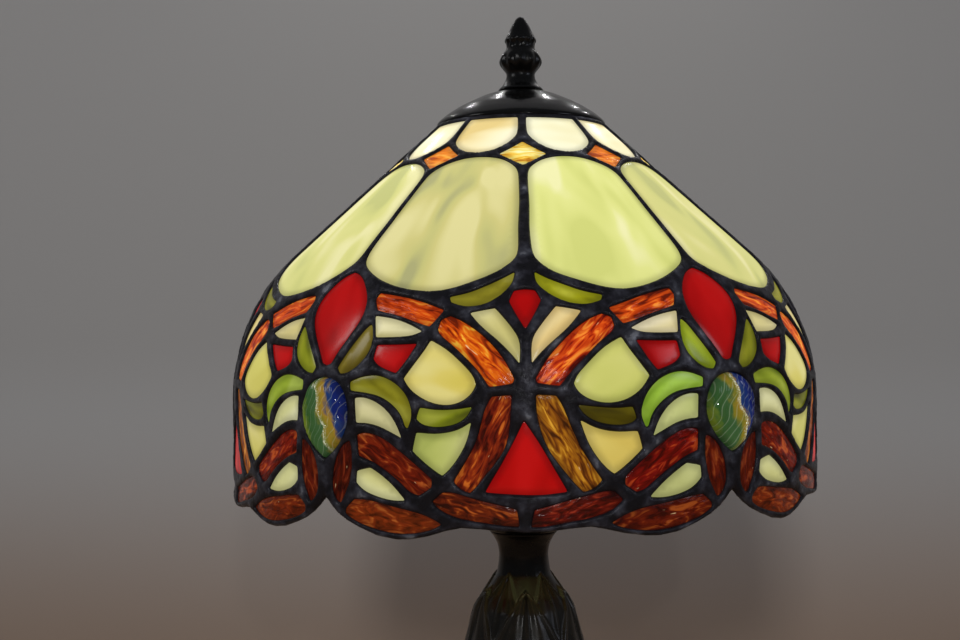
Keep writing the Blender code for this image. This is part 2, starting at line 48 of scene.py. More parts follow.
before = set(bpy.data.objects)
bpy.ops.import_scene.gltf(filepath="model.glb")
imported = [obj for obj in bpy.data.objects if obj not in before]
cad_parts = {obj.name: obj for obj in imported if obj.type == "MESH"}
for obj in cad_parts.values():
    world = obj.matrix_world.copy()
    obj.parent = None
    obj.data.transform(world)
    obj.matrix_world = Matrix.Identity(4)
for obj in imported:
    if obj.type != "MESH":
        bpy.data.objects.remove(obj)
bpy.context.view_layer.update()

MM = 0.001
LATTICE_LOW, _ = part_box("solder_lattice")
BULB_LOW, BULB_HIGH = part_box("bulb_glass")

# The form the shade is built on, in millimetres and degrees
COPIES = 5  # the pattern comes round five times
HALF_TURN = 180 / COPIES  # from a plain seam to a jewelled one
TOP_R, TOP_Z = 44.0, 421.3
SLOPE = math.radians(42.5)
CONE_RUN, ARC_R = 101.0, 100.0
GLASS_T = 3.0
TOP_EDGE = 0.8

# The rim's scallops from a plain seam to a jewelled one: (degrees, length down the glass)
RIM = [(0, 231.5), (4, 230.8), (7, 229.9), (10.5, 229.4), (13, 230.9), (16, 233.3), (19, 234.8), (21.5, 235.2),
       (25, 234.2), (28.5, 231.2), (31, 228.6), (33, 225.6), (34.4, 222.6), (35.3, 220.2), (36, 218.8)]

# One half of the repeating pattern, drawn as (degrees from the plain seam, length down the glass).
# A piece on a seam lists its half outline only, from its top point on the seam to its lowest.
PATTERN = {
    "crown_glass": [(2.7, 2.6), (2.4, 9), (2.5, 14), (3.0, 18), (5, 21.8), (8, 26), (12.5, 30), (18, 31.2), (23, 30.5),
                    (28, 27.5), (32, 23.5), (33.8, 20), (34.3, 15), (34.2, 9), (34.0, 2.6)],
    "shoulder_glass": [(1.5, 52), (1.8, 46.4), (3, 42.5), (6.5, 38), (11, 35.5), (17, 34.5), (23, 35), (28, 37.3),
                       (32, 40.5), (34.6, 45), (35.2, 51), (35.25, 75), (35.3, 98), (35.1, 106), (34.3, 110.4),
                       (32, 115), (28, 120.7), (23, 124.8), (18, 126.3), (14, 125.5), (10, 122.5), (6, 118),
                       (3, 112), (1.6, 107), (1.35, 98), (1.4, 75)],
    "bud_leaf": [(1.9, 117), (4, 120.5), (7, 124.5), (10, 128), (13.6, 129.6), (13.2, 132.2), (10.3, 134.7),
                 (7.2, 133.5), (4.4, 129.3), (2.2, 123)],
    "bud_wing": [(5.2, 135.2), (9.5, 137.6), (7.5, 143.5), (4.4, 150.5), (2, 157), (1.0, 160.5), (0.9, 150.2),
                 (2.7, 142.7)],
    "arch_upper": [(13, 138.8), (10.3, 142), (7.4, 147.3), (5, 153.8), (3.2, 160), (1.7, 167.0), (1.9, 168.8),
                   (5.4, 170), (7, 164.5), (9.5, 158), (12.2, 151.5), (14.4, 147.3), (15.0, 144.6), (14.6, 140.4)],
    "brow_bar": [(14.4, 135.9), (18.2, 132.1), (22, 129.4), (27.6, 126.8), (28.2, 130), (27.3, 135.5), (22.6, 138.2),
                 (18.9, 141.5), (16.6, 143.2)],
    "brow_wedge": [(17.9, 145.5), (20.8, 142), (24.1, 139.4), (27.5, 138.4), (26.6, 148.6), (22.3, 148.2),
                   (19.8, 147.6)],
    "scarlet_chip": [(18.5, 151.4), (22, 152.0), (26, 152.3), (26.3, 158.5), (25, 161.5), (21.7, 164.2),
                     (20.1, 159.2)],
    "fan_glass": [(16, 149.8), (17.1, 155.4), (19, 162.5), (20.2, 166.6), (18.7, 172), (15.8, 176.4), (12.8, 177.7),
                  (10.2, 176), (8.3, 172.6), (7.6, 169), (8.2, 165.6), (9.7, 161.5), (12.8, 154.2)],
    "fan_cup": [(8.2, 178), (11.4, 179.4), (14.5, 180), (17.1, 179.2), (17.7, 184.2), (16.6, 186.5), (14, 187.2),
                (11.1, 185.6), (9.1, 181.9)],
    "fan_tail": [(8.5, 184.5), (11, 188.6), (14.2, 190.2), (17.8, 189.8), (18.6, 197.2), (16.3, 202.3), (13.7, 207),
                 (11.6, 202.5), (9.5, 194)],
    "arch_lower": [(1.9, 173.8), (4.9, 174), (6.1, 179.5), (7, 187.5), (8.3, 196), (10.2, 204), (11.8, 209.4),
                   (10.6, 212.8), (9, 214.3), (7.3, 210), (4.9, 202), (3, 194.5), (2.1, 184.5)],
    "rim_wave": [(0.9, 228.9), (1.4, 221.6), (5.3, 219), (8.3, 217), (12.1, 214.2), (13.8, 214.4), (15.4, 218.5),
                 (13.8, 222.6), (11, 225.2), (7, 226.8), (3.5, 228.4)],
    "sweep_bar": [(15.6, 208.5), (18, 203.2), (21, 197.5), (24, 192.2), (27, 189.8), (28.8, 190.8), (28.6, 199.8),
                  (25.8, 202), (23.2, 206), (21, 210), (19.2, 214.5), (17.6, 215.8), (15.6, 212)],
    "lobe_chip": [(20, 218.3), (22, 212.5), (24.2, 208), (26.3, 204.9), (29.0, 206.5), (29.2, 211.7), (27.5, 215.5),
                  (24.5, 218), (22, 218.8)],
    "lobe_base": [(13.7, 228.2), (16, 225), (18.9, 222.8), (23, 221.2), (27.2, 219.2), (29.6, 219.1), (31.3, 223.2),
                  (31.3, 225.4), (29.2, 228.4), (26, 230.8), (22.2, 232.5), (18.4, 232.3), (15.4, 230.6)],
    "notch_almond": [(30.3, 193.5), (31.6, 194.6), (33.1, 198.8), (34.1, 204.8), (34.4, 211.5), (34.2, 216.5),
                     (33.2, 220.2), (32.4, 220.8), (31.3, 215.5), (30.3, 208.8), (30.0, 201.2)],
    "petal_leaf": [(27.9, 142.5), (27.1, 148.5), (27.3, 155.5), (29, 160.8), (31.2, 164), (32.8, 164.5),
                   (33.5, 162), (32, 156), (30.2, 149.8), (28.8, 144.4)],
    "jewel_leaf": [(19.3, 188.2), (18.6, 184), (18.7, 179), (19.8, 173), (22, 167.8), (25, 165.1), (28, 165.8),
                   (30.4, 167.9), (30.2, 171.6), (27.5, 172.2), (24.5, 173.7), (22.1, 177.5), (20.4, 182.3),
                   (19.7, 187.6)],
    "jewel_sail": [(29.2, 174.8), (27.2, 174.6), (24.8, 176.9), (22.7, 181.4), (21.3, 187), (20.5, 192.2),
                   (22.3, 189.9), (24.7, 187), (27, 185.6), (29, 185.5)],
}
SEAM_PATTERN = {
    "bud_kite": (0, [(0, 126.2), (1.9, 127), (2.75, 132), (1.5, 138.2), (0, 145)]),
    "foot_triangle": (0, [(0, 184.5), (2.2, 194.5), (4.2, 204.2), (6.4, 214), (3.2, 214.9), (0, 215.1)]),
    "gold_diamond": (0, [(0, 23.4), (4.7, 28.3), (9.4, 32.9), (4.6, 37.4), (0, 42.0)]),
    "amber_diamond": (36, [(0, 23.8), (4.6, 28.4), (9.2, 32.8), (4.5, 37.2), (0, 41.8)]),
    "scarlet_petal": (36, [(0, 114.9), (1.9, 116.8), (3.6, 120.5), (5.4, 127), (6.1, 133), (5.7, 140), (4.3, 147),
                           (1.9, 156), (1.0, 160.2), (0, 161)]),
}
JEWEL_OUTLINE = [(0, 166.2), (2.2, 167.2), (4.0, 170.6), (5.1, 176.6), (5.3, 182.6), (4.8, 188.2), (3.6, 193.6),
                 (1.9, 198.2), (0, 201.4)]  # half of it, on the jewelled seam
JEWEL_MID = 184.0
JEWEL_HALF_WIDTH, JEWEL_HALF_HEIGHT = 13.0, 17.6

# Sheet glass as it is bought, each with two casts of four tints from dark to light; on rippled and hammered sheets the
# darkest and lightest tints also stand for painted shade and highlight on the ripples. The front of the
# shade uses the first cast left of its seam and the second cast right of it; the rest are mixed.
GLASS = {
    "crown_glass": ("opal", "E8CE86 F4E2A8 FBF0C2 FDF6D2", "F2EABA F9F5CE FDFADA FDFDE4"),
    "shoulder_glass": ("opal", "B0AE78 C8C47C D2CA80 E2DA98", "D4D87C DEE186 E5E790 F2F0B2"),
    "gold_diamond": ("ripple", "C8811A F0B93A FBE06A FFF6B8", "C8811A F0B93A FBE06A FFF6B8"),
    "amber_diamond": ("ripple", "A8480E DE7417 F08A22 FBB445", "A03A0C D9600F F07A1C FDAA3C"),
    "bud_leaf": ("wispy", "625C12 827A1C 968E26 AEA848", "70700A 92920C A2A21A B6B636"),
    "bud_kite": ("cathedral", "A00202 B20505 BA0808 C01010", "A00202 B20505 BA0808 C01010"),
    "bud_wing": ("opal", "C0B66C CEC47A D6CC86 DED69A", "DDBA6A E6C67C EBCE88 EFD89A"),
    "arch_upper": ("ripple", "741E00 C84404 EC7410 FFBE3C", "560A00 AC2402 DE5010 FF9030"),
    "brow_bar": ("ripple", "661400 AC3202 D8500C F68E2C", "661600 B83804 DC5410 FF9634"),
    "brow_wedge": ("opal", "C8BE74 D4CA84 DED492 E6DEAC", "D8C888 E4D49A EADCA8 F0E4BC"),
    "scarlet_chip": ("cathedral", "980000 AC0202 B40606 BC1010", "980000 A80202 B40404 BC0C0C"),
    "fan_glass": ("opal", "D6C056 DBC95E E0CE6A E6D884", "C8CA68 D2D272 D8D67C DEDC92"),
    "fan_cup": ("wispy", "4E5210 727A16 8C941E A4A83C", "4C4204 645806 76700E 8A8418"),
    "fan_tail": ("opal", "ACB45C BCC268 C4C874 CECE84", "D8BC58 E0C866 E6D076 EBD68C"),
    "arch_lower": ("ripple", "360600 621404 8C2C08 C8641E", "421E02 783E08 AC6C12 E6A834"),
    "foot_triangle": ("cathedral", "A00000 B40202 BC0404 C40A0A", "A00000 B40202 BC0404 C40A0A"),
    "rim_wave": ("hammered", "300A00 541602 742606 B8581C", "280400 460800 641004 A0341A"),
    "sweep_bar": ("hammered", "400A00 621402 802408 B85A22", "3E0400 620800 800E04 BC4418"),
    "lobe_chip": ("opal", "C4BE78 D0CA84 D8D490 E0DEA6", "BEC07A CACC88 D2D298 D8DAAA"),
    "lobe_base": ("hammered", "421400 662404 842E08 B05A22", "320600 500E00 6A1C04 A04A18"),
    "notch_almond": ("hammered", "2A0400 420C00 581404 803014", "380600 501000 661804 944218"),
    "scarlet_petal": ("cathedral", "960202 A60404 AE0808 B60C0C", "8E0000 9A0000 A80202 B00606"),
    "petal_leaf": ("wispy", "5A4C10 6E6018 807020 948432", "7A8A10 90A21A A0B028 B4C040"),
    "jewel_leaf": ("wispy", "5C560A 7C7614 908A20 A4A038", "74A01E 8EB432 9EC440 B2D460"),
    "jewel_sail": ("opal", "CCC68C D8D09A DED8A8 E6E0B8", "C0C67C CCD088 D4D694 DCDEA8"),
}
# kind of sheet: roughness, ripple height in mm, ripple length and width in mm, painted light through it
SHEETS = {
    "opal": (0.22, 0.04, 46.0, 15.0, 0.98),
    "wispy": (0.22, 0.05, 24.0, 8.0, 0.97),
    "cathedral": (0.22, 0.02, 34.0, 14.0, 0.95),
    "ripple": (0.16, 0.50, 13.0, 3.0, 1.0),
    "hammered": (0.18, 0.34, 10.0, 3.4, 0.85),
}

# The shade sits turned a little on its harp, its seams lean as hand-set ones do, and its rows lie a
# little lower than they were drawn, on the left most of all
TURNED = 0.6
LEAN_MEAN, LEAN_SWING, LEAN_PHASE = 0.38, 0.52, 164.0
LEAN_FROM, LEAN_TO = 100.0, 200.0
SLIP, HANG = 2.4, 2.0

BEAD_HEIGHT, BEAD_HALF = 0.6, 1.9  # solder stands this far out; a seam wider than twice the second is flat-topped
SINK = 0.65  # where solder meets glass it dips just under the glass's face
UNDER = 1.0  # glass runs this far under the solder
RIM_NOSE = 2.3  # how far in from the rim its rounding starts
SOLDER_STEP = 1.4  # between points of the solder's mesh
SOLDER_SHARE = 0.54  # of its triangles are enough

MATH, COMBINE, SEPARATE = "ShaderNodeMath", "ShaderNodeCombineXYZ", "ShaderNodeSeparateXYZ"


# --- small tools ---------------------------------------------------------------------------------

def linear(code, alpha=1.0):
    """An sRGB hex colour as linear RGBA."""
    parts = [int(code[i:i + 2], 16) / 255 for i in (0, 2, 4)]
    return (*(c / 12.92 if c <= 0.04045 else ((c + 0.055) / 1.055) ** 2.4 for c in parts), alpha)


def add(tree, kind, inputs=(), out=0, **settings):
    """Adds one node. inputs maps sockets, by name or number, to values or to other nodes' outputs.
    Returns the output asked for, or the node itself when out is None."""
    node = tree.nodes.new(kind)
    for key, value in settings.items():
        setattr(node, key, value)
    for key, value in dict(inputs).items():
        if isinstance(value, bpy.types.NodeSocket):
            tree.links.new(value, node.inputs[key])
        else:
            node.inputs[key].default_value = value
    return node if out is None else node.outputs[out]


def ramp(tree, fac, codes, stops=None):
    """A colour ramp over hex codes, evenly spread unless stops are given."""
    node = add(tree, "ShaderNodeValToRGB", {0: fac}, out=None)
    codes = codes.split()
    stops = stops or [i / (len(codes) - 1) for i in range(len(codes))]
    while len(node.color_ramp.elements) < len(codes):
        node.color_ramp.elements.new(0.5)
    for element, stop, code in zip(node.color_ramp.elements, stops, codes):
        element.position = stop
        element.color = linear(code)
    return node.outputs[0]


def new_material(name):
    """An empty material and its node tree."""
    made = bpy.data.materials.new(name)
    made.use_nodes = True
    made.node_tree.nodes.clear()
    return made, made.node_tree


def surface(tree, inputs):
    """Ends a material in one principled surface."""
    shader = add(tree, "ShaderNodeBsdfPrincipled", inputs)
    add(tree, "ShaderNodeOutputMaterial", {"Surface": shader}, out=None)


def show(name, mesh, material, body, slot, *stands_for):
    """Links a finished mesh as a piece that rides on a body and stands for some frame nodes."""
    obj = bpy.data.objects.new(name, mesh)
    bpy.context.scene.collection.objects.link(obj)
    if material:
        mesh.materials.clear()
        mesh.materials.append(material)
    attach(obj, body)
    if stands_for:
        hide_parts(*stands_for)
    return obj


def finish_nodes(finishes):
    """Gives each of these frame nodes, which show as they are, its own finish."""
    for node, material in finishes.items():
        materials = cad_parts[node].data.materials
        materials.clear()
        materials.append(material)


def mesh_from(name, verts, faces, sharp=40.0):
    """A smooth mesh from plain lists, with edges over `sharp` degrees kept crisp."""
    mesh = bpy.data.meshes.new(name)
    mesh.from_pydata([tuple(map(float, v)) for v in verts], [], [tuple(map(int, f)) for f in faces])
    mesh.update()
    mesh.shade_smooth()
    if sharp:
        mesh.set_sharp_from_angle(angle=math.radians(sharp))
    return mesh


def softened(points, cut, rounds=2, closed=True, sharp=0.0):
    """Cuts corners off an outline again and again, never more than `cut` from one end of an edge, or more
    than `sharp` where the outline turns by over 40 degrees."""
    points = [np.array(p, float) for p in points]
    for _ in range(rounds):
        made = []
        for i, p in enumerate(points):
            if not closed and i in (0, len(points) - 1):
                made.append(p)
                continue
            back, ahead = points[i - 1] - p, points[(i + 1) % len(points)] - p
            far = max(np.linalg.norm(back), 1e-6), max(np.linalg.norm(ahead), 1e-6)
            limit = sharp if sharp and -(back @ ahead) / (far[0] * far[1]) < 0.77 else cut
            made += [p + back * min(0.25, limit / far[0]), p + ahead * min(0.25, limit / far[1])]
        points = made
    return points


def spaced(points, step, closed=True):
    """Adds points so that none is further than `step` from the next."""
    made = []
    ends = zip(points, points[1:] + points[:1]) if closed else zip(points, points[1:])
    for a, b in ends:
        count = max(1, math.ceil(np.linalg.norm(b - a) / step))
        made += [a + (b - a) * i / count for i in range(count)]
    return made if closed else made + [points[-1]]


# --- the pattern on the form ---------------------------------------------------------------------

def form(s):
    """Radius and height in mm of the glass's outer face, and its outward direction, at lengths s."""
    s = np.asarray(s, float)
    turn = np.clip(SLOPE + np.maximum(0, s - CONE_RUN) / ARC_R, SLOPE, math.pi / 2)
    plumb = np.maximum(0, s - CONE_RUN - (math.pi / 2 - SLOPE) * ARC_R)
    run = np.minimum(s, CONE_RUN)
    r = TOP_R + run * math.cos(SLOPE) + ARC_R * (np.sin(turn) - math.sin(SLOPE))
    z = TOP_Z - run * math.sin(SLOPE) - ARC_R * (math.cos(SLOPE) - np.cos(turn)) - plumb
    return r, z, np.sin(turn), np.cos(turn)


def in_space(points):
    """Pattern points (degrees, length) as places in mm on the form, to measure real distances by."""
    points = np.asarray(points, float).reshape(-1, 2)
    r, z, _, _ = form(points[:, 1])
    angle = np.radians(points[:, 0])
    return np.stack([r * np.sin(angle), -r * np.cos(angle), z], axis=1)


def to_mm(points, s_mid):
    """Pattern points as flat millimetres near one length down the glass."""
    scale = math.radians(1) * float(form(s_mid)[0])
    return [np.array((p[0] * scale, p[1])) for p in points]


def to_pattern(points, s_mid):
    """The way back from flat millimetres to pattern points."""
    scale = math.radians(1) * float(form(s_mid)[0])
    return np.array([(p[0] / scale, p[1]) for p in points])


def shaped(points, step, sharp=0.5):
    """An outline with smooth curves, crisp corners and close points, measured in millimetres on the glass."""
    s_mid = sum(p[1] for p in points) / len(points)
    return to_pattern(spaced(softened(to_mm(points, s_mid), 5.0, rounds=2, sharp=sharp), step), s_mid)


def distance_to(points, loops):
    """Distance in mm from each pattern point to the nearest edge of the closed loops."""
    starts = np.concatenate([in_space(loop) for loop in loops])
    ends = np.concatenate([in_space(np.roll(loop, -1, axis=0)) for loop in loops])
    along = ends - starts
    length = np.maximum((along ** 2).sum(axis=1), 1e-9)
    places = in_space(points)
    nearest = np.empty(len(places))
    for i in range(0, len(places), 400):
        away = places[i:i + 400, None, :] - starts[None]
        share = np.clip((away * along).sum(axis=2) / length, 0, 1)
        nearest[i:i + 400] = np.sqrt(((away - share[..., None] * along) ** 2).sum(axis=2)).min(axis=1)
    return nearest


def within(points, loop):
    """Which pattern points lie inside a closed loop."""
    points, loop = np.asarray(points, float), np.asarray(loop, float)
    inside = np.zeros(len(points), bool)
    for (x0, y0), (x1, y1) in zip(loop, np.roll(loop, -1, axis=0)):
        if y0 == y1:
            continue
        crosses = (points[:, 1] < y0) != (points[:, 1] < y1)
        inside ^= crosses & (points[:, 0] < (x1 - x0) * (points[:, 1] - y0) / (y1 - y0) + x0)
    return inside


def grown(loop, by):
    """A loop pushed out by some mm on the glass."""
    loop = np.asarray(loop, float)
    r = form(loop[:, 1])[0] * math.radians(1)
    ahead, behind = np.roll(loop, -1, axis=0), np.roll(loop, 1, axis=0)
    tangent = (ahead - behind) * np.stack([r, np.ones(len(loop))], axis=1)
    tangent /= np.maximum(np.linalg.norm(tangent, axis=1, keepdims=True), 1e-9)
    area = (loop[:, 0] * ahead[:, 1] - ahead[:, 0] * loop[:, 1]).sum()
    side = 1 if area > 0 else -1
    return loop + by * side * np.stack([tangent[:, 1] / r, -tangent[:, 0]], axis=1)


def whole_outline(seam, half):
    """A seam piece's full outline from its half: down one side and back up the other."""
    right = [(seam + a, s) for a, s in half]
    left = [(seam - a, s) for a, s in half[1:-1]]
    return right + left[::-1]


def outlines(step=1.15):
    """Every glass outline of one repeat, from -36 to +36 degrees: {name: [(side, loop), ...]}."""
    made = {}
    for name, points in PATTERN.items():
        loop = shaped(points, step)
        made[name] = [(1, loop), (0, loop * (-1, 1))]
    for name, (seam, half) in SEAM_PATTERN.items():
        made[name] = [(0.5, shaped(whole_outline(seam, half), step))]
    return made


def flat_place(points, out):
    """Pattern points as flat-sheet vertices: radians across, metres down as -y, metres off the glass."""
    points = np.asarray(points, float)
    return np.stack([np.radians(points[:, 0]), -points[:, 1] * MM, np.broadcast_to(out, len(points)) * MM], axis=1)


def triangulated(loops, inner, s_mid):
    """Points and triangles over closed loops and loose points, facing up off the glass."""
    scale = math.radians(1) * float(form(s_mid)[0])
    verts, edges = [], []
    for loop, closed in loops:
        base = len(verts)
        verts += [Vector((p[0] * scale, -p[1])) for p in loop]
        edges += [(base + i, base + (i + 1) % len(loop)) for i in range(len(loop) - (not closed))]
    verts += [Vector((p[0] * scale, -p[1])) for p in inner]
    coords, _, faces, _, _, _ = delaunay_2d_cdt(verts, edges, [], 0, 1e-5, False)
    points = np.array([(v[0] / scale, -v[1]) for v in coords])
    return points, np.array([f for f in faces if len(f) == 3])


def open_sides(triangles):
    """The edges of a flat triangulation that have a triangle on one side only."""
    edges = {(t[i], t[(i + 1) % 3]) for t in triangles for i in range(3)}
    return [(i, j) for i, j in edges if (j, i) not in edges]


def hex_grid(loop, step, clear):
    """Points on a triangular grid inside a loop, kept some mm clear of its edge."""
    loop = np.asarray(loop, float)
    low, high = loop.min(axis=0), loop.max(axis=0)
    across = step / (float(form(loop[:, 1].mean())[0]) * math.radians(1))
    rows = np.arange(low[1], high[1], step * 0.866)
    grid = [(a + (i % 2) * across / 2, s) for i, s in enumerate(rows) for a in np.arange(low[0], high[0], across)]
    if not grid:
        return np.zeros((0, 2))
    grid = np.array(grid)
    grid = grid[within(grid, loop)]
    return grid[distance_to(grid, [loop]) > clear] if len(grid) else grid


# --- wrapping a flat sheet round the form ---------------------------------------------------------

def wrap_tree():
    """Repeats a flat sheet round the shade and bends it onto the form.
    The sheet's x is the angle in radians, -y the length down the glass and z the height off it."""
    tree = bpy.data.node_groups.new("wrap_on_shade_form", "GeometryNodeTree")
    face = tree.interface
    face.new_socket("Geometry", in_out="INPUT", socket_type="NodeSocketGeometry")
    face.new_socket("Geometry", in_out="OUTPUT", socket_type="NodeSocketGeometry")
    sizes = (("Copies", "NodeSocketInt", COPIES), ("Top Radius", "NodeSocketFloat", TOP_R * MM),
             ("Top Height", "NodeSocketFloat", TOP_Z * MM), ("Slope", "NodeSocketFloat", SLOPE),
             ("Cone Run", "NodeSocketFloat", CONE_RUN * MM), ("Arc Radius", "NodeSocketFloat", ARC_R * MM),
             ("Lean Mean", "NodeSocketFloat", math.radians(LEAN_MEAN)),
             ("Lean Swing", "NodeSocketFloat", math.radians(LEAN_SWING)),
             ("Lean Phase", "NodeSocketFloat", math.radians(LEAN_PHASE)),
             ("Lean From", "NodeSocketFloat", LEAN_FROM * MM), ("Lean To", "NodeSocketFloat", LEAN_TO * MM),
             ("Turned", "NodeSocketFloat", math.radians(TURNED)), ("Slip", "NodeSocketFloat", SLIP * MM),
             ("Hang", "NodeSocketFloat", HANG * MM), ("Wobble", "NodeSocketFloat", 0.0008))
    for name, kind, default in sizes:
        face.new_socket(name, in_out="INPUT", socket_type=kind).default_value = default
    face.new_socket("Material", in_out="INPUT", socket_type="NodeSocketMaterial")
    given = add(tree, "NodeGroupInput", out=None).outputs

    # copies side by side along the sheet, each numbered
    points = add(tree, "GeometryNodePoints", {"Count": given["Copies"]})
    index = add(tree, "GeometryNodeInputIndex")
    pitch = add(tree, MATH, {0: math.tau, 1: given["Copies"]}, operation="DIVIDE")
    shift = add(tree, COMBINE, {0: add(tree, MATH, {0: index, 1: pitch}, operation="MULTIPLY")})
    points = add(tree, "GeometryNodeSetPosition", {"Geometry": points, "Position": shift})
    points = add(tree, "GeometryNodeStoreNamedAttribute", {"Geometry": points, "Name": "copy", "Value": index},
                 data_type="FLOAT", domain="POINT")
    sheets = add(tree, "GeometryNodeInstanceOnPoints", {"Points": points, "Instance": given["Geometry"]})
    sheet = add(tree, "GeometryNodeRealizeInstances", {"Geometry": sheets})

    # a slow wander of the hand-set pieces, the same at both ends of the turn
    place = add(tree, "GeometryNodeInputPosition")
    split = add(tree, SEPARATE, {0: place}, out=None).outputs
    angle, out = split[0], split[2]
    down = add(tree, MATH, {0: split[1], 1: -1.0}, operation="MULTIPLY")
    ring = add(tree, COMBINE, {0: add(tree, MATH, {0: angle}, operation="COSINE"),
                               1: add(tree, MATH, {0: angle}, operation="SINE"),
                               2: add(tree, MATH, {0: down, 1: 8.0}, operation="MULTIPLY")})
    wander = add(tree, "ShaderNodeTexNoise", {"Vector": ring, "Scale": 3.2, "Detail": 1.0}, out=1)
    wander = add(tree, "ShaderNodeVectorMath", {0: wander, 1: (0.5, 0.5, 0.5)}, operation="SUBTRACT")
    wander = add(tree, SEPARATE, {0: wander}, out=None).outputs
    free = add(tree, "ShaderNodeMapRange", {"Value": down, "From Min": 0.02, "From Max": 0.1})
    reach = add(tree, MATH, {0: free, 1: given["Wobble"]}, operation="MULTIPLY")
    reach = add(tree, MATH, {0: reach, 1: 4.0}, operation="MULTIPLY")
    across = add(tree, MATH, {0: wander[0], 1: reach}, operation="MULTIPLY")
    across = add(tree, MATH, {0: across, 1: 0.12}, operation="DIVIDE")
    down = add(tree, MATH, {0: wander[1], 1: reach, 2: down}, operation="MULTIPLY_ADD")

    # the rows slip down, but not at the cap, and less at the rim
    leave = add(tree, "ShaderNodeMapRange", {"Value": down, "From Min": 0.01, "From Max": 0.06},
                interpolation_type="SMOOTHSTEP")
    hold = add(tree, "ShaderNodeMapRange", {"Value": down, "From Min": 0.195, "From Max": 0.232, "To Min": 1.0,
                                            "To Max": 0.8}, interpolation_type="SMOOTHSTEP")
    slip = add(tree, MATH, {0: given["Slip"], 1: hold}, operation="MULTIPLY")
    sway = add(tree, MATH, {0: add(tree, MATH, {0: angle}, operation="SINE"), 1: given["Hang"]},
               operation="MULTIPLY")
    sway = add(tree, MATH, {0: sway, 1: add(tree, MATH, {0: down, 1: 0.2}, operation="DIVIDE")},
               operation="MULTIPLY")
    slip = add(tree, MATH, {0: slip, 1: sway}, operation="SUBTRACT")
    down = add(tree, MATH, {0: slip, 1: leave, 2: down}, operation="MULTIPLY_ADD")

    # the lean of the seams, growing down the shade
    swing = add(tree, MATH, {0: angle, 1: 3.0, 2: add(tree, MATH, {0: given["Lean Phase"], 1: -1.0},
                                                   operation="MULTIPLY")}, operation="MULTIPLY_ADD")
    swing = add(tree, MATH, {0: swing}, operation="COSINE")
    swing = add(tree, MATH, {0: swing, 1: given["Lean Swing"], 2: given["Lean Mean"]}, operation="MULTIPLY_ADD")
    grow = add(tree, "ShaderNodeMapRange", {"Value": down, "From Min": given["Lean From"],
                                            "From Max": given["Lean To"]}, interpolation_type="SMOOTHSTEP")
    angle = add(tree, MATH, {0: swing, 1: grow, 2: angle}, operation="MULTIPLY_ADD")
    angle = add(tree, MATH, {0: angle, 1: across}, operation="ADD")
    angle = add(tree, MATH, {0: angle, 1: given["Turned"]}, operation="ADD")

    # the form: a cone, then an arc down to plumb
    run = add(tree, MATH, {0: down, 1: given["Cone Run"]}, operation="MINIMUM")
    past = add(tree, MATH, {0: down, 1: given["Cone Run"]}, operation="SUBTRACT")
    past = add(tree, MATH, {0: past, 1: 0.0}, operation="MAXIMUM")
    bend = add(tree, MATH, {0: past, 1: given["Arc Radius"]}, operation="DIVIDE")
    left = add(tree, MATH, {0: math.pi / 2, 1: given["Slope"]}, operation="SUBTRACT")
    bend = add(tree, MATH, {0: bend, 1: left}, operation="MINIMUM")
    turn = add(tree, MATH, {0: given["Slope"], 1: bend}, operation="ADD")
    bent = add(tree, MATH, {0: bend, 1: given["Arc Radius"]}, operation="MULTIPLY")
    plumb = add(tree, MATH, {0: past, 1: bent}, operation="SUBTRACT")
    sin_slope = add(tree, MATH, {0: given["Slope"]}, operation="SINE")
    cos_slope = add(tree, MATH, {0: given["Slope"]}, operation="COSINE")
    sin_turn = add(tree, MATH, {0: turn}, operation="SINE")
    cos_turn = add(tree, MATH, {0: turn}, operation="COSINE")
    r = add(tree, MATH, {0: run, 1: cos_slope, 2: given["Top Radius"]}, operation="MULTIPLY_ADD")
    widen = add(tree, MATH, {0: sin_turn, 1: sin_slope}, operation="SUBTRACT")
    r = add(tree, MATH, {0: widen, 1: given["Arc Radius"], 2: r}, operation="MULTIPLY_ADD")
    r = add(tree, MATH, {0: out, 1: sin_turn, 2: r}, operation="MULTIPLY_ADD")
    drop = add(tree, MATH, {0: run, 1: sin_slope, 2: plumb}, operation="MULTIPLY_ADD")
    fall = add(tree, MATH, {0: cos_slope, 1: cos_turn}, operation="SUBTRACT")
    drop = add(tree, MATH, {0: fall, 1: given["Arc Radius"], 2: drop}, operation="MULTIPLY_ADD")
    z = add(tree, MATH, {0: given["Top Height"], 1: drop}, operation="SUBTRACT")
    z = add(tree, MATH, {0: out, 1: cos_turn, 2: z}, operation="MULTIPLY_ADD")
    x = add(tree, MATH, {0: r, 1: add(tree, MATH, {0: angle}, operation="SINE")}, operation="MULTIPLY")
    y = add(tree, MATH, {0: r, 1: add(tree, MATH, {0: angle}, operation="COSINE")}, operation="MULTIPLY")
    y = add(tree, MATH, {0: y, 1: -1.0}, operation="MULTIPLY")
    sheet = add(tree, "GeometryNodeSetPosition", {"Geometry": sheet, "Position": add(tree, COMBINE, {0: x, 1: y,
                                                                                                  2: z})})
    sheet = add(tree, "GeometryNodeMergeByDistance", {"Geometry": sheet, "Distance": 0.00002})
    sheet = add(tree, "GeometryNodeSetMaterial", {"Geometry": sheet, "Material": given["Material"]})
    add(tree, "NodeGroupOutput", {"Geometry": sheet}, out=None)
    return tree


def plain_mesh(carrier):
    """An object's mesh with its modifiers applied. The object itself is removed."""
    name = carrier.name
    graph = bpy.context.evaluated_depsgraph_get()
    made = bpy.data.meshes.new_from_object(carrier.evaluated_get(graph), preserve_all_data_layers=True,
                                           depsgraph=graph)
    made.name = name
    bpy.data.objects.remove(carrier)
    return made


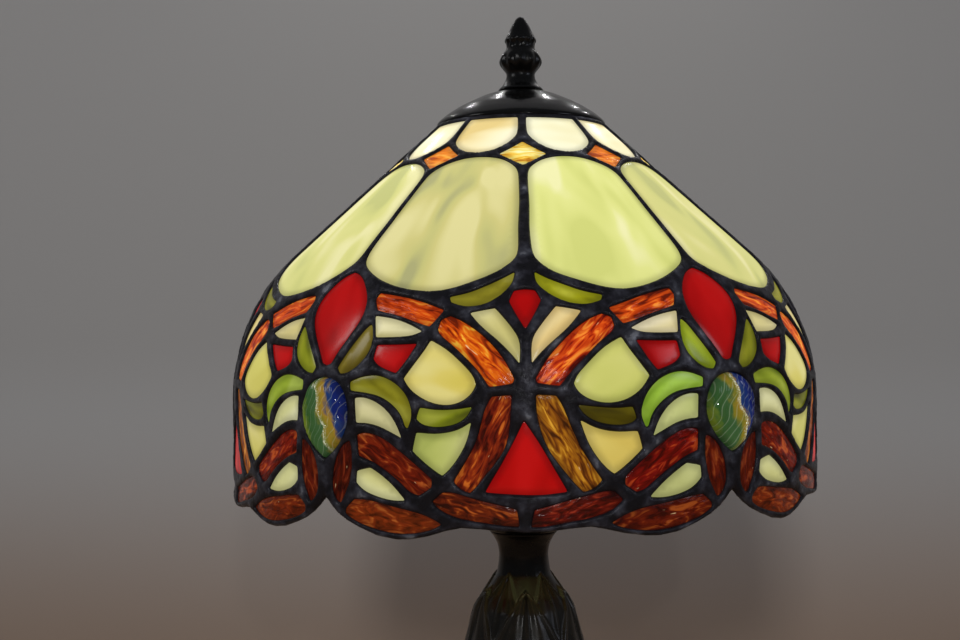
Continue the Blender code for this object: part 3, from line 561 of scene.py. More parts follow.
def through_nodes(name, mesh, tree, values):
    """Runs a mesh through a node tree and returns the result as a plain mesh."""
    carrier = bpy.data.objects.new(name, mesh)
    bpy.context.scene.collection.objects.link(carrier)
    modifier = carrier.modifiers.new("nodes", "NODES")
    modifier.node_group = tree
    for item in tree.interface.items_tree:
        if item.in_out == "INPUT" and item.name in values:
            modifier[item.identifier] = values[item.name]
    return plain_mesh(carrier)


def thinned(mesh, share):
    """The same closed mesh with this share of its triangles, most of them left where it curves."""
    carrier = bpy.data.objects.new(mesh.name, mesh)
    bpy.context.scene.collection.objects.link(carrier)
    modifier = carrier.modifiers.new("thin", "DECIMATE")
    modifier.ratio = share
    return plain_mesh(carrier)


def put_attribute(mesh, name, kind, values):
    """Stores one value or vector for each vertex under a name that materials read."""
    layer = mesh.attributes.new(name, kind, "POINT")
    field = "vector" if kind == "FLOAT_VECTOR" else "value"
    layer.data.foreach_set(field, np.asarray(values, np.float32).ravel())


# --- glass -----------------------------------------------------------------------------------------

def grain_of(loop):
    """Centre, long direction and short direction of an outline, in flat mm."""
    s_mid = loop[:, 1].mean()
    flat = np.array(to_mm(loop, s_mid))
    centre = flat.mean(axis=0)
    _, _, axes = np.linalg.svd(flat - centre)
    return s_mid, centre, axes[0], axes[1]


def glass_sheet(name, sides, kind):
    """Closed flat tiles for each outline, rippled on their outer face, with grain, tone and edge attributes."""
    roughness, height, long, wide, _ = SHEETS[kind]
    step = 1.5 if height > 0.2 else 2.6
    verts, faces, grain, tone, edge = [], [], [], [], []
    for side, loop in sides:
        border = grown(loop, UNDER)
        inner = np.concatenate([loop, hex_grid(loop, step, step * 0.55)])
        points, triangles = triangulated([(border, True)], inner, loop[:, 1].mean())
        keep = within(points[triangles].mean(axis=1), border)
        triangles = triangles[keep]
        s_mid, centre, axis, cross = grain_of(loop)
        flat = np.array(to_mm(points, s_mid)) - centre
        a, b = flat @ axis, flat @ cross
        clear = np.where(within(points, loop), distance_to(points, [loop]), 0.0)
        swell = np.clip(clear / 2.5, 0, 1)
        seed = hash_of(name) + side * 3.7
        bumps = np.array([noise.noise(Vector((u / long, v / wide, seed))) + 0.45 * noise.noise(
            Vector((2.3 * u / long, 2.3 * v / wide, seed + 9))) for u, v in zip(a, b)])
        top = -0.58 + 0.12 * np.sqrt(1 - (1 - swell) ** 2) + height * bumps * np.clip(clear / 1.2, 0, 1)
        is_border = distance_to(points, [border]) < 1e-3
        top = np.where(is_border, -0.95, top)
        base, count = len(verts), len(points)
        verts += [*flat_place(points, top), *flat_place(points, np.full(count, 0.3 - GLASS_T))]
        faces += [tuple(base + t) for t in triangles] + [tuple(base + count + t[::-1]) for t in triangles]
        faces += [(base + j, base + i, base + count + i, base + count + j) for i, j in open_sides(triangles)]
        where = np.stack([a * MM, b * MM, np.full(count, seed)], axis=1)
        grain += [*where, *where]
        tone += [side] * (2 * count)
        edge += [*np.clip(clear / 4.0, 0, 1)] * 2
    mesh = mesh_from(name, verts, faces, sharp=None)
    put_attribute(mesh, "grain", "FLOAT_VECTOR", grain)
    put_attribute(mesh, "tone", "FLOAT", tone)
    put_attribute(mesh, "edge", "FLOAT", edge)
    return mesh


def hash_of(name):
    """A fixed number from 0 to 97 for a name, the same on every run."""
    return sum((i + 3) * ord(c) for i, c in enumerate(name)) % 97


def sheet_glass(name, kind, first, second, look):
    """Rolled art glass with the bulb's light through it painted in as a glow, brighter toward the cap: its
    streaks run along the piece, and its edges sink into painted shade. Opal and wispy sheets scatter light evenly,
    cathedral ones are clear and even in colour, and rippled and hammered ones show bright crests and dark troughs,
    streaks that are part their colour and part painted light and shade, with small painted glints."""
    material, tree = new_material(name)
    roughness, height, long, wide, light = SHEETS[kind]
    grain = add(tree, "ShaderNodeAttribute", out=1, attribute_name="grain")
    tone = add(tree, "ShaderNodeAttribute", out=2, attribute_name="tone")
    copy = add(tree, "ShaderNodeAttribute", out=2, attribute_name="copy")
    edge = add(tree, "ShaderNodeAttribute", out=2, attribute_name="edge")
    cast = add(tree, MATH, {0: copy, 1: 0.3819, 2: tone}, operation="MULTIPLY_ADD")
    cast = add(tree, MATH, {0: cast, 1: 1.00001, 2: 0.0}, operation="WRAP")
    lot = add(tree, COMBINE, {0: add(tree, MATH, {0: copy, 1: 0.173}, operation="MULTIPLY"),
                              1: add(tree, MATH, {0: cast, 1: 0.291}, operation="MULTIPLY"), 2: cast})
    place = add(tree, "ShaderNodeVectorMath", {0: grain, 1: lot}, operation="ADD")
    textured = kind in ("ripple", "hammered")
    stretch = (1 / (long * MM), 1 / (wide * MM), 1.0)
    place = add(tree, "ShaderNodeVectorMath", {0: place, 1: stretch}, operation="MULTIPLY")
    streaks = add(tree, "ShaderNodeTexNoise", {"Vector": place, "Scale": 1.0 if textured else 0.8,
                                               "Detail": 2.5 if textured else 1.0, "Roughness": 0.55,
                                               "Distortion": 1.1 if textured else 0.5})
    spread = add(tree, "ShaderNodeMapRange", {"Value": streaks, "From Min": 0.33, "From Max": 0.67})
    one = ramp(tree, spread, first)
    two = ramp(tree, spread, second)
    colour = add(tree, "ShaderNodeMix", {0: cast, 6: one, 7: two}, out=2, data_type="RGBA")
    if textured:
        # painted glints: small pale flecks mixed into the colour of rippled and hammered glass
        painted_glints = add(tree, "ShaderNodeTexNoise", {"Vector": place, "Scale": 2.2, "Detail": 1.0})
        painted_glints = add(tree, "ShaderNodeMapRange", {"Value": painted_glints, "From Min": 0.76, "From Max": 0.84,
                                                  "To Max": 0.8})
        colour = add(tree, "ShaderNodeMix", {0: painted_glints, 6: colour, 7: linear("FFD9A0")}, out=2, data_type="RGBA")
    # painted light: the emission stands for the bulb's light shining through the glass, brighter toward the cap than
    # at the rim
    low, high = look.glow_low * light, look.glow_high * light
    height_up = add(tree, SEPARATE, {0: add(tree, "ShaderNodeTexCoord", out=3)}, out=2)
    glow = add(tree, "ShaderNodeMapRange", {"Value": height_up, "From Min": LATTICE_LOW[2], "From Max": TOP_Z * MM,
                                            "To Min": low, "To Max": high}, interpolation_type="SMOOTHSTEP")
    # painted shade: the glow dims toward each piece's edge, beside the solder
    shade = add(tree, "ShaderNodeMapRange", {"Value": edge, "To Min": 0.62, "To Max": 1.0},
                interpolation_type="SMOOTHSTEP")
    glow = add(tree, MATH, {0: glow, 1: shade}, operation="MULTIPLY")
    lit = add(tree, "ShaderNodeVectorMath", {0: colour, "Scale": glow}, operation="SCALE")
    body = add(tree, "ShaderNodeVectorMath", {0: colour, "Scale": 0.06}, operation="SCALE")
    inputs = {"Base Color": body, "Emission Color": lit, "Emission Strength": 1.0, "Roughness": roughness,
              "IOR": 1.46}
    if textured:
        fine = add(tree, "ShaderNodeTexNoise", {"Vector": place, "Scale": 2.6, "Detail": 3.0})
        inputs["Normal"] = add(tree, "ShaderNodeBump", {"Strength": 0.5, "Distance": 0.0006, "Height": fine})
    surface(tree, inputs)
    return material


def make_glass(names, look, slot, nodes):
    """Makes the named glass pieces, wraps them round the shade and rides them on it."""
    tree = wrap_tree()
    loops = outlines()
    for i, name in enumerate(names):
        kind, first, second = GLASS[name]
        flat = glass_sheet(name, loops[name], kind)
        material = sheet_glass(f"{kind}_{name}", kind, first, second, look)
        mesh = through_nodes(name, flat, tree, {"Material": material, "Wobble": look.wobble})
        stands_for = nodes if i == 0 else ()
        show(name, mesh, material, "shade", slot, *stands_for)


# --- solder ------------------------------------------------------------------------------------------

def rim_length(angle):
    """Length down the glass of the shade's edge at degrees from a plain seam."""
    stops = np.array(RIM, float)
    return np.interp(np.abs(angle), stops[:, 0], stops[:, 1])


def solder_sheet(name):
    """One repeat of the solder network, flat: beads between the glass, with a rounded nose at the rim."""
    right = [sides[0][1] for sides in outlines(SOLDER_STEP).values()]
    right.append(shaped(whole_outline(HALF_TURN, JEWEL_OUTLINE), SOLDER_STEP))
    step = 1.0
    top = [(a, TOP_EDGE) for a in np.arange(0, HALF_TURN + 0.01, 1.5)]
    rim = [(a, float(rim_length(a))) for a in np.arange(0, HALF_TURN + 0.01, 0.4)]
    down = np.arange(TOP_EDGE, rim_length(HALF_TURN), step)
    axis = np.arange(TOP_EDGE, rim_length(0), step)
    border = np.array([*top, *[(HALF_TURN, s) for s in down[1:]], *rim[::-1], *[(0.0, s) for s in axis[:0:-1]]])

    # the glass outlines, cut off at the two seams that bound this half
    clipped = []
    for loop in right:
        kept = loop.copy()
        kept[:, 0] = np.clip(kept[:, 0], 0, HALF_TURN)
        keep = np.ones(len(kept), bool)
        for edge_angle in (0.0, HALF_TURN):
            on = np.isclose(kept[:, 0], edge_angle)
            keep &= ~(on & np.roll(on, 1) & np.roll(on, -1))
        clipped.append(kept[keep])

    # loose points: rows beside each piece of glass, rows along the rim, and a grid over the rest
    rim_line = np.array(rim)
    rings = [grown(loop, by) for loop in right for by in (0.35, 0.95)]
    loose = np.concatenate([*rings, hex_grid(border, SOLDER_STEP, 0.3), rim_line - (0, 0.4), rim_line - (0, 1.1)])
    loose = loose[(loose[:, 0] > 0.25) & (loose[:, 0] < HALF_TURN - 0.25) & within(loose, border)]
    inside = np.zeros(len(loose), bool)
    for loop in right:
        inside |= within(loose, loop)
    loose = loose[~inside & (distance_to(loose, right) > 0.3)]

    s_mid = 150.0
    points, triangles = triangulated([(border, True)] + [(loop, True) for loop in clipped], loose, s_mid)
    middles = points[triangles].mean(axis=1)
    keep = within(middles, border)
    for loop in clipped:
        keep &= ~within(middles, loop)
    triangles = triangles[keep]
    used = np.unique(triangles)
    renumber = np.full(len(points), -1)
    renumber[used] = np.arange(len(used))
    points, triangles = points[used], renumber[triangles]
    to_rim = distance_to(points, [np.concatenate([rim_line, rim_line[::-1]])])
    to_rim[to_rim < 0.002] = 0.0
    triangles = triangles[to_rim[triangles].max(axis=1) > 0]  # no slivers along the rim

    # the same again across the plain seam
    mirrored = points * (-1, 1)
    both = np.concatenate([points, mirrored])
    triangles = np.concatenate([triangles, triangles[:, ::-1] + len(points)])
    clear = np.tile(distance_to(points, right), 2)
    to_rim = np.tile(to_rim, 2)

    # a rounded bead out and in, with soft lumps, closing on the middle of the glass at the rim
    dome = np.sqrt(1 - (1 - np.clip(clear / BEAD_HALF, 0, 1)) ** 2)
    lumps = np.array([noise.noise(Vector((p[0] * 0.9, p[1] * 0.32, 1.7))) + 0.6 * noise.noise(
        Vector((p[0] * 2.1, p[1] * 0.8, 5.1))) for p in both])
    lumps *= np.clip((HALF_TURN - np.abs(both[:, 0])) / 3, 0, 1)  # so that one repeat meets the next
    outer = -SINK + (BEAD_HEIGHT + SINK) * dome * (1 + 0.16 * lumps)
    middle = -GLASS_T / 2
    inner = -GLASS_T + 0.45 - 1.2 * dome
    nose = np.sqrt(1 - (1 - np.clip(to_rim / RIM_NOSE, 0, 1)) ** 2)
    outer = middle + (outer - middle) * nose
    inner = middle + (inner - middle) * nose
    count = len(both)
    verts = np.concatenate([flat_place(both, outer), flat_place(both, inner)])
    faces = [tuple(t) for t in triangles] + [tuple(t[::-1] + count) for t in triangles]
    on_edge = np.isclose(np.abs(both[:, 0]), HALF_TURN, atol=1e-3) | np.isclose(both[:, 0], 0, atol=1e-3)
    faces += [(j, i, i + count, j + count) for i, j in open_sides(triangles)
              if not (on_edge[i] and on_edge[j]) and max(to_rim[i], to_rim[j]) > 0]
    bm = bmesh.new()
    crest = bm.verts.layers.float.new("crest")
    made = [bm.verts.new(v) for v in verts]
    for vert, share in zip(made, np.tile(dome, 2)):
        vert[crest] = share
    for face in faces:
        corners = [made[i] for i in face]
        if len(set(corners)) == len(corners):
            try:
                bm.faces.new(corners)
            except ValueError:
                continue
    bmesh.ops.remove_doubles(bm, verts=bm.verts, dist=0.00001)
    bmesh.ops.delete(bm, geom=[v for v in bm.verts if not v.link_faces], context="VERTS")
    mesh = bpy.data.meshes.new(name)
    bm.to_mesh(mesh)
    bm.free()
    mesh.shade_smooth()
    return mesh


def black_patina(name):
    """Tin-lead solder blackened with patina: a dull dark skin over soft lumps, paler grey on the crests, part worn
    patina and part painted sheen.
    """
    material, tree = new_material(name)
    place = add(tree, "ShaderNodeTexCoord", out=3)
    crest = add(tree, "ShaderNodeAttribute", out=2, attribute_name="crest")
    cloud = add(tree, "ShaderNodeTexNoise", {"Vector": place, "Scale": 120.0, "Detail": 3.0, "Roughness": 0.55})
    pits = add(tree, "ShaderNodeTexNoise", {"Vector": place, "Scale": 620.0, "Detail": 3.0, "Roughness": 0.65})
    # paler grey on the bead crests: part worn patina, part painted sheen
    wear_and_sheen = add(tree, "ShaderNodeMapRange", {"Value": cloud, "From Min": 0.42, "From Max": 0.72})
    wear_and_sheen = add(tree, MATH, {0: wear_and_sheen, 1: crest}, operation="MULTIPLY")
    colour = ramp(tree, wear_and_sheen, "1A191E 2B2A32 484952 7E8088", [0.0, 0.35, 0.75, 1.0])
    rough = add(tree, "ShaderNodeMapRange", {"Value": pits, "From Min": 0.3, "From Max": 0.7, "To Min": 0.26,
                                             "To Max": 0.5})
    soft = add(tree, "ShaderNodeBump", {"Strength": 0.55, "Distance": 0.0011, "Height": cloud})
    both = add(tree, "ShaderNodeBump", {"Strength": 0.35, "Distance": 0.0004, "Height": pits, "Normal": soft})
    surface(tree, {"Base Color": colour, "Metallic": 0.4, "Roughness": rough, "Normal": both})
    return material


# --- jewels ------------------------------------------------------------------------------------------

def jewel_sheet(name):
    """One pressed jewel, flat: a cushion with a crooked ridge down it and fine ribs fanning off the ridge."""
    loop = shaped(whole_outline(HALF_TURN, JEWEL_OUTLINE), 0.9)
    border = grown(loop, 0.7)
    inner = np.concatenate([loop, hex_grid(loop, 0.62, 0.3)])
    points, triangles = triangulated([(border, True)], inner, JEWEL_MID)
    triangles = triangles[within(points[triangles].mean(axis=1), border)]
    clear = np.where(within(points, loop), distance_to(points, [loop]), 0.0)
    flat = np.array(to_mm(points, JEWEL_MID)) - to_mm([(HALF_TURN, JEWEL_MID)], JEWEL_MID)[0]
    x, y = flat[:, 0] / JEWEL_HALF_WIDTH, flat[:, 1] / JEWEL_HALF_HEIGHT
    ridge = 0.12 + 0.22 * np.sin(2.1 * y + 0.3) + 0.06 * np.sin(9 * y)
    side = x - ridge
    cushion = 4.4 * np.sqrt(1 - (1 - np.clip(clear / 8.5, 0, 1)) ** 2)
    ribs = np.where(side < 0, np.cos((y * 1.0 + side * 1.15) * 23), np.cos(side * 30))
    face = cushion - 1.0 * np.clip(np.abs(side), 0, 0.6) + 0.32 * ribs * np.clip(clear / 2, 0, 1)
    face += 0.7 * np.exp(-(side / 0.06) ** 2) * np.clip(clear / 3, 0, 1)
    is_border = distance_to(points, [border]) < 1e-3
    top = np.where(is_border, -1.0, -0.5 + face)
    count = len(points)
    verts = [*flat_place(points, top), *flat_place(points, np.full(count, 0.2 - GLASS_T))]
    faces = [tuple(t) for t in triangles] + [tuple(t[::-1] + count) for t in triangles]
    faces += [(j, i, i + count, j + count) for i, j in open_sides(triangles)]
    mesh = mesh_from(name, verts, faces, sharp=None)
    grain = np.stack([x, y, side], axis=1)
    put_attribute(mesh, "grain", "FLOAT_VECTOR", np.concatenate([grain, grain]))
    put_attribute(mesh, "edge", "FLOAT", np.tile(np.clip(clear / 3.0, 0, 1), 2))
    return mesh


def pressed_jewel(name, look):
    """Pressed lead crystal, coloured in the mould: green, gold and blue run side by side. Its glow and darker edge
    are painted light and shade, and pale lines of painted highlight run along its ribs and its frosted ridge.
    """
    material, tree = new_material(name)
    grain = add(tree, "ShaderNodeAttribute", out=1, attribute_name="grain")
    edge = add(tree, "ShaderNodeAttribute", out=2, attribute_name="edge")
    copy = add(tree, "ShaderNodeAttribute", out=2, attribute_name="copy")
    parts = add(tree, SEPARATE, {0: grain}, out=None).outputs
    mist = add(tree, "ShaderNodeTexNoise", {"Vector": grain, "Scale": 2.6, "Detail": 3.0})
    across = add(tree, MATH, {0: mist, 1: 0.9, 2: parts[2]}, operation="MULTIPLY_ADD")
    turn = add(tree, MATH, {0: copy, 1: 0.06}, operation="MULTIPLY")
    across = add(tree, MATH, {0: across, 1: turn}, operation="SUBTRACT")
    across = add(tree, "ShaderNodeMapRange", {"Value": across, "From Min": -0.75, "From Max": 1.35})
    colour = ramp(tree, across, "5A6A18 2A4C22 34542E 6E6A1E 8E7020 1A3260 0A1A5A 07103C",
                  [0.0, 0.14, 0.38, 0.47, 0.60, 0.68, 0.80, 1.0])
    # painted highlight: pale lines along the crests of the ribs
    vein = add(tree, MATH, {0: parts[1], 1: parts[2]}, operation="ADD")
    vein = add(tree, MATH, {0: vein, 1: 23.0}, operation="MULTIPLY")
    vein = add(tree, MATH, {0: vein}, operation="COSINE")
    vein = add(tree, "ShaderNodeMapRange", {"Value": vein, "From Min": 0.88, "From Max": 1.0, "To Max": 0.14})
    # the ridge is paler, part frost and part painted highlight, broken up by noise
    ridge = add(tree, MATH, {0: parts[2]}, operation="ABSOLUTE")
    ridge = add(tree, "ShaderNodeMapRange", {"Value": ridge, "From Min": 0.07, "From Max": 0.0})
    crumble = add(tree, "ShaderNodeTexNoise", {"Vector": grain, "Scale": 22.0, "Detail": 3.0})
    crumble = add(tree, "ShaderNodeMapRange", {"Value": crumble, "From Min": 0.42, "From Max": 0.6})
    ridge = add(tree, MATH, {0: ridge, 1: crumble}, operation="MULTIPLY")
    frost = add(tree, MATH, {0: vein, 1: ridge}, operation="MAXIMUM")
    colour = add(tree, "ShaderNodeMix", {0: frost, 6: colour, 7: linear("C9CDB4")}, out=2, data_type="RGBA")
    # painted light and shade: the jewel glows as if lit from behind, dimmer toward its edge
    shade = add(tree, "ShaderNodeMapRange", {"Value": edge, "To Min": 0.35 * look.glow_low,
                                             "To Max": 0.9 * look.glow_low})
    lit = add(tree, "ShaderNodeVectorMath", {0: colour, "Scale": shade}, operation="SCALE")
    body = add(tree, "ShaderNodeVectorMath", {0: colour, "Scale": 0.5}, operation="SCALE")
    surface(tree, {"Base Color": body, "Emission Color": lit, "Emission Strength": 1.0, "Roughness": 0.09,
                   "IOR": 1.6})
    return material


# --- turned pieces -----------------------------------------------------------------------------------

def turned(name, profile, steps=96, step=1.2, cut=0.8, closed=True, relief=None, sharp=40.0):
    """Spins a profile of (radius, height) in mm. relief(angle, radius, height) is pushed along the radius."""
    points = [np.array(p, float) for p in profile]
    if cut:
        points = softened(points, cut, rounds=2, closed=closed)
    points = np.array(spaced(points, step, closed=closed))
    area = (points[:, 0] * np.roll(points[:, 1], -1) - np.roll(points[:, 0], -1) * points[:, 1]).sum()
    if area < 0:
        points = points[::-1]
    angles = np.arange(steps) * math.tau / steps
    count = len(points)
    verts, faces, raised = [], [], []
    for angle in angles:
        r, z = points[:, 0].copy(), points[:, 1]
        push = relief(angle, r, z) if relief else np.zeros(count)
        raised += list(push)
        r = np.where(r > 0.01, r + push, 0)
        verts += [(u * math.sin(angle) * MM, -u * math.cos(angle) * MM, h * MM) for u, h in zip(r, z)]
    spans = count if closed else count - 1
    for k in range(steps):
        a, b = k * count, ((k + 1) % steps) * count
        faces += [(a + i, b + i, b + (i + 1) % count, a + (i + 1) % count) for i in range(spans)]
    bm = bmesh.new()
    layer = bm.verts.layers.float.new("raised")
    made = [bm.verts.new(v) for v in verts]
    for vert, push in zip(made, raised):
        vert[layer] = push
    for face in faces:
        bm.faces.new([made[i] for i in face])
    bmesh.ops.remove_doubles(bm, verts=bm.verts, dist=0.000004)
    bmesh.ops.dissolve_degenerate(bm, dist=0.000002, edges=bm.edges)
    bmesh.ops.recalc_face_normals(bm, faces=bm.faces)
    mesh = bpy.data.meshes.new(name)
    bm.to_mesh(mesh)
    bm.free()
    mesh.shade_smooth()
    mesh.set_sharp_from_angle(angle=math.radians(sharp))
    return mesh


def dark_bronze(name, dusting, roughness=0.24):
    """Cast metal or resin under dark bronze enamel: almost black in the hollows, brown where it is dry-brushed
    on the raised parts, with a smooth semi-gloss coat and slight brush marks."""
    material, tree = new_material(name)
    place = add(tree, "ShaderNodeTexCoord", out=3)
    raised = add(tree, "ShaderNodeAttribute", out=2, attribute_name="raised")
    cloud = add(tree, "ShaderNodeTexNoise", {"Vector": place, "Scale": 70.0, "Detail": 4.0})
    fine = add(tree, "ShaderNodeTexNoise", {"Vector": place, "Scale": 900.0, "Detail": 2.0})
    worn = add(tree, "ShaderNodeMapRange", {"Value": raised, "From Min": 0.4, "From Max": 2.2, "To Max": dusting})
    worn = add(tree, MATH, {0: worn, 1: cloud}, operation="MULTIPLY")
    colour = ramp(tree, worn, "070707 14120E 2C241B", [0.0, 0.3, 1.0])
    rough = add(tree, "ShaderNodeMapRange", {"Value": cloud, "From Min": 0.3, "From Max": 0.7,
                                             "To Min": roughness - 0.06, "To Max": roughness + 0.1})
    normal = add(tree, "ShaderNodeBump", {"Strength": 0.08, "Distance": 0.0002, "Height": fine})
    surface(tree, {"Base Color": colour, "Roughness": rough, "Normal": normal, "IOR": 1.42})
    return material


def plain_metal(name, dark, light, roughness, scale=300.0, metallic=1.0):
    """Drawn, plated or cast metal parts: even colour, with fine tool marks that break up the highlights."""
    material, tree = new_material(name)
    place = add(tree, "ShaderNodeTexCoord", out=3)
    marks = add(tree, "ShaderNodeTexNoise", {"Vector": place, "Scale": scale, "Detail": 4.0})
    colour = ramp(tree, marks, f"{dark} {light}", [0.3, 0.7])
    rough = add(tree, "ShaderNodeMapRange", {"Value": marks, "To Min": roughness - 0.08, "To Max": roughness + 0.1})
    normal = add(tree, "ShaderNodeBump", {"Strength": 0.12, "Distance": 0.0002, "Height": marks})
    surface(tree, {"Base Color": colour, "Metallic": metallic, "Roughness": rough, "Normal": normal})
    return material


def wool_felt(name):
    """Pressed wool felt: matted fibres with a soft sheen."""
    material, tree = new_material(name)
    place = add(tree, "ShaderNodeTexCoord", out=3)
    fibres = add(tree, "ShaderNodeTexNoise", {"Vector": place, "Scale": 1400.0, "Detail": 5.0})
    colour = ramp(tree, fibres, "12261A 21402C", [0.3, 0.7])
    normal = add(tree, "ShaderNodeBump", {"Strength": 0.6, "Distance": 0.0004, "Height": fibres})
    surface(tree, {"Base Color": colour, "Roughness": 0.95, "Sheen Weight": 0.4, "Normal": normal})
    return material


def opal_bulb(name, strength):
    """A glass bulb frosted inside: even warm light all over."""
    material, tree = new_material(name)
    place = add(tree, "ShaderNodeTexCoord", out=3)
    frost = add(tree, "ShaderNodeTexNoise", {"Vector": place, "Scale": 500.0, "Detail": 2.0})
    colour = ramp(tree, frost, "F2E6CC FFF4DE", [0.3, 0.7])
    surface(tree, {"Base Color": colour, "Roughness": 0.3, "Emission Color": linear("FFE2B0"),
                   "Emission Strength": strength})
    return material


def leafwork(angle, r, z):
    """Overlapping cast leaves on the vase: rounded blades with sunk veins and curled edges."""
    push = np.zeros_like(z)
    skin = (r > 12.5) & (z > 52) & (z < 205.5)
    for count, turn, low, tip, wide, rise in ((5, 0.04, 64, 179, 0.42, 1.7), (5, 0.54, 56, 186.5, 0.50, 0.9),
                                              (8, 0.25, 50, 104, 0.40, 1.1)):
        pitch = math.tau / count
        off = (angle / pitch - turn) % 1.0
        off = (off - 1 if off > 0.5 else off) * pitch
        share = np.clip((z - low) / (tip - low), 0, 1)
        half = wide * pitch * 1.9 * np.sin(math.pi * (0.18 + 0.82 * share)) ** 0.75
        across = np.abs(off) / np.maximum(half, 1e-4)
        blade = np.clip(1 - across, 0, 1)
        body = rise * np.sqrt(1 - (1 - np.clip(blade * 2.6, 0, 1)) ** 2)
        vein = 0.42 * rise * np.cos(across * 9.5 - share * 5.0) * np.clip(blade * 3, 0, 1)
        rib = 0.7 * rise * np.exp(-(across / 0.07) ** 2)
        lip = 0.55 * rise * np.exp(-((across - 0.84) / 0.09) ** 2)
        here = (body + vein * 0.5 + rib + lip) * np.clip((tip - z) / 3.0, 0, 1) * np.clip((z - low) / 4.0, 0, 1)
        push = np.where(blade > 0, np.maximum(push, here), push)
    return np.where(skin, push, 0.0)


def foot_leaves(angle, r, z):
    """A ring of broad petals laid over the foot, with a gadrooned edge."""
    push = np.zeros_like(z)
    top = (z > 8.5) & (r > 21) & (z < 47)
    for count, turn, inner, tip, rise in ((10, 0.0, 22, 64, 1.2), (10, 0.5, 22, 56, 0.8)):
        pitch = math.tau / count
        off = (angle / pitch - turn) % 1.0
        off = (off - 1 if off > 0.5 else off) * pitch
        share = np.clip((tip - r) / (tip - inner), 0, 1)
        half = 0.5 * pitch * np.sin(math.pi * np.clip(share * 0.9, 0, 0.5)) ** 0.6
        across = np.abs(off) / np.maximum(half, 1e-4)
        blade = np.clip(1 - across, 0, 1)
        here = rise * np.sqrt(1 - (1 - np.clip(blade * 3, 0, 1)) ** 2) + 0.5 * rise * np.exp(-(across / 0.08) ** 2)
        push = np.maximum(push, np.where((blade > 0) & (r < tip), here, 0))
    return np.where(top, push, 0.0)


def finial_ribs(angle, r, z):
    """Gadroons on the bulb of the finial, and a collar of small petals above it."""
    gadroon = 0.55 * np.cos(angle * 11) * np.exp(-((z - 456.2) / 3.0) ** 2)
    petals = 0.65 * np.abs(np.cos(angle * 5.5)) * np.exp(-((z - 468.4 + 1.2 * abs(math.cos(angle * 5.5))) / 1.5) ** 2)
    lower = 0.3 * np.abs(np.cos(angle * 5.5 + 0.8)) * np.exp(-((z - 464.8) / 1.1) ** 2)
    return np.where(r > 5.5, gadroon + petals + lower - 0.3 * np.exp(-((z - 456.2) / 3.0) ** 2), 0.0)


FINIAL = [(0.0, 458.0), (3.4, 458.0), (3.4, 440.3), (12.2, 440.3), (11.6, 441.6), (9.6, 443.4), (8.0, 446.2),
          (7.5, 448.2), (7.6, 450.0), (9.4, 452.2), (11.0, 454.6), (11.3, 456.8), (10.3, 459.4), (8.4, 461.6),
          (7.4, 463.4), (7.3, 465.5), (8.0, 467.6), (7.4, 469.6), (6.3, 471.6), (5.3, 474.0), (4.0, 476.6),
          (2.4, 479.0), (1.0, 480.0), (0.0, 480.2)]
CAP = [(5.4, 439.9), (12.0, 439.9), (16.4, 438.7), (20.8, 437.2), (27.7, 434.0), (33.9, 430.8), (39.5, 427.2),
       (43.2, 424.2), (44.7, 422.6), (44.9, 421.4), (44.2, 421.0), (43.2, 421.9), (38.6, 425.6), (33.2, 429.0),
       (27.0, 432.3), (20.2, 435.6), (12.0, 438.4), (5.4, 438.4)]
VASE = [(5.5, 48.3), (20.5, 48.3), (17.0, 53.0), (14.0, 62.0), (13.2, 75.0), (15.0, 90.0), (20.6, 105.0),
        (27.0, 119.0), (30.8, 131.0), (31.4, 139.0), (29.6, 149.5), (28.0, 155.0), (26.5, 161.0), (24.6, 167.5),
        (21.2, 174.0), (16.8, 180.4), (14.3, 184.4), (13.4, 190.0), (13.0, 195.0), (13.8, 200.0), (16.2, 204.5),
        (18.5, 207.0), (5.5, 207.0)]
FOOT = [(5.5, 48.0), (22.5, 48.0), (25.0, 39.0), (32.8, 29.5), (44.8, 22.0), (58.8, 16.5), (66.0, 13.4),
        (68.0, 12.0), (73.5, 9.5), (76.0, 7.0), (76.0, 1.8), (71.0, 1.8), (68.0, 8.0), (55.0, 12.0), (40.0, 17.0),
        (27.0, 25.0), (18.5, 35.0), (13.0, 35.0), (12.0, 14.4), (5.5, 14.4)]
SEAT_CUP = [(5.5, 207.3), (19.0, 207.3), (21.5, 210.0), (22.0, 213.5), (20.6, 213.5), (19.4, 210.6), (5.5, 210.4)]
BULB = [(12.6, 275.3), (13.2, 279.0), (14.4, 284.0), (17.0, 290.6), (20.4, 297.0), (24.2, 303.6), (27.4, 310.4),
        (29.4, 317.6), (30.0, 325.0), (29.4, 332.6), (27.4, 339.4), (24.0, 345.6), (19.4, 350.4), (14.2, 353.9),
        (8.0, 356.2), (0.0, 357.0)]
HOLDER_CAP = [(5.5, 216.5), (9.0, 216.5), (9.5, 221.0), (12.0, 224.6), (15.6, 228.0), (17.6, 231.6), (18.2, 236.5),
              (17.0, 236.5), (16.6, 232.6), (14.4, 229.2), (8.0, 225.4), (5.5, 225.4)]
HOLDER_SHELL = [(16.6, 236.8), (17.8, 236.8), (18.6, 238.0), (18.6, 239.4), (18.0, 240.4), (18.1, 268.0),
                (18.6, 269.0), (18.6, 270.4), (18.1, 271.4), (18.2, 274.0), (19.0, 275.8), (19.2, 277.5),
                (16.6, 277.5)]


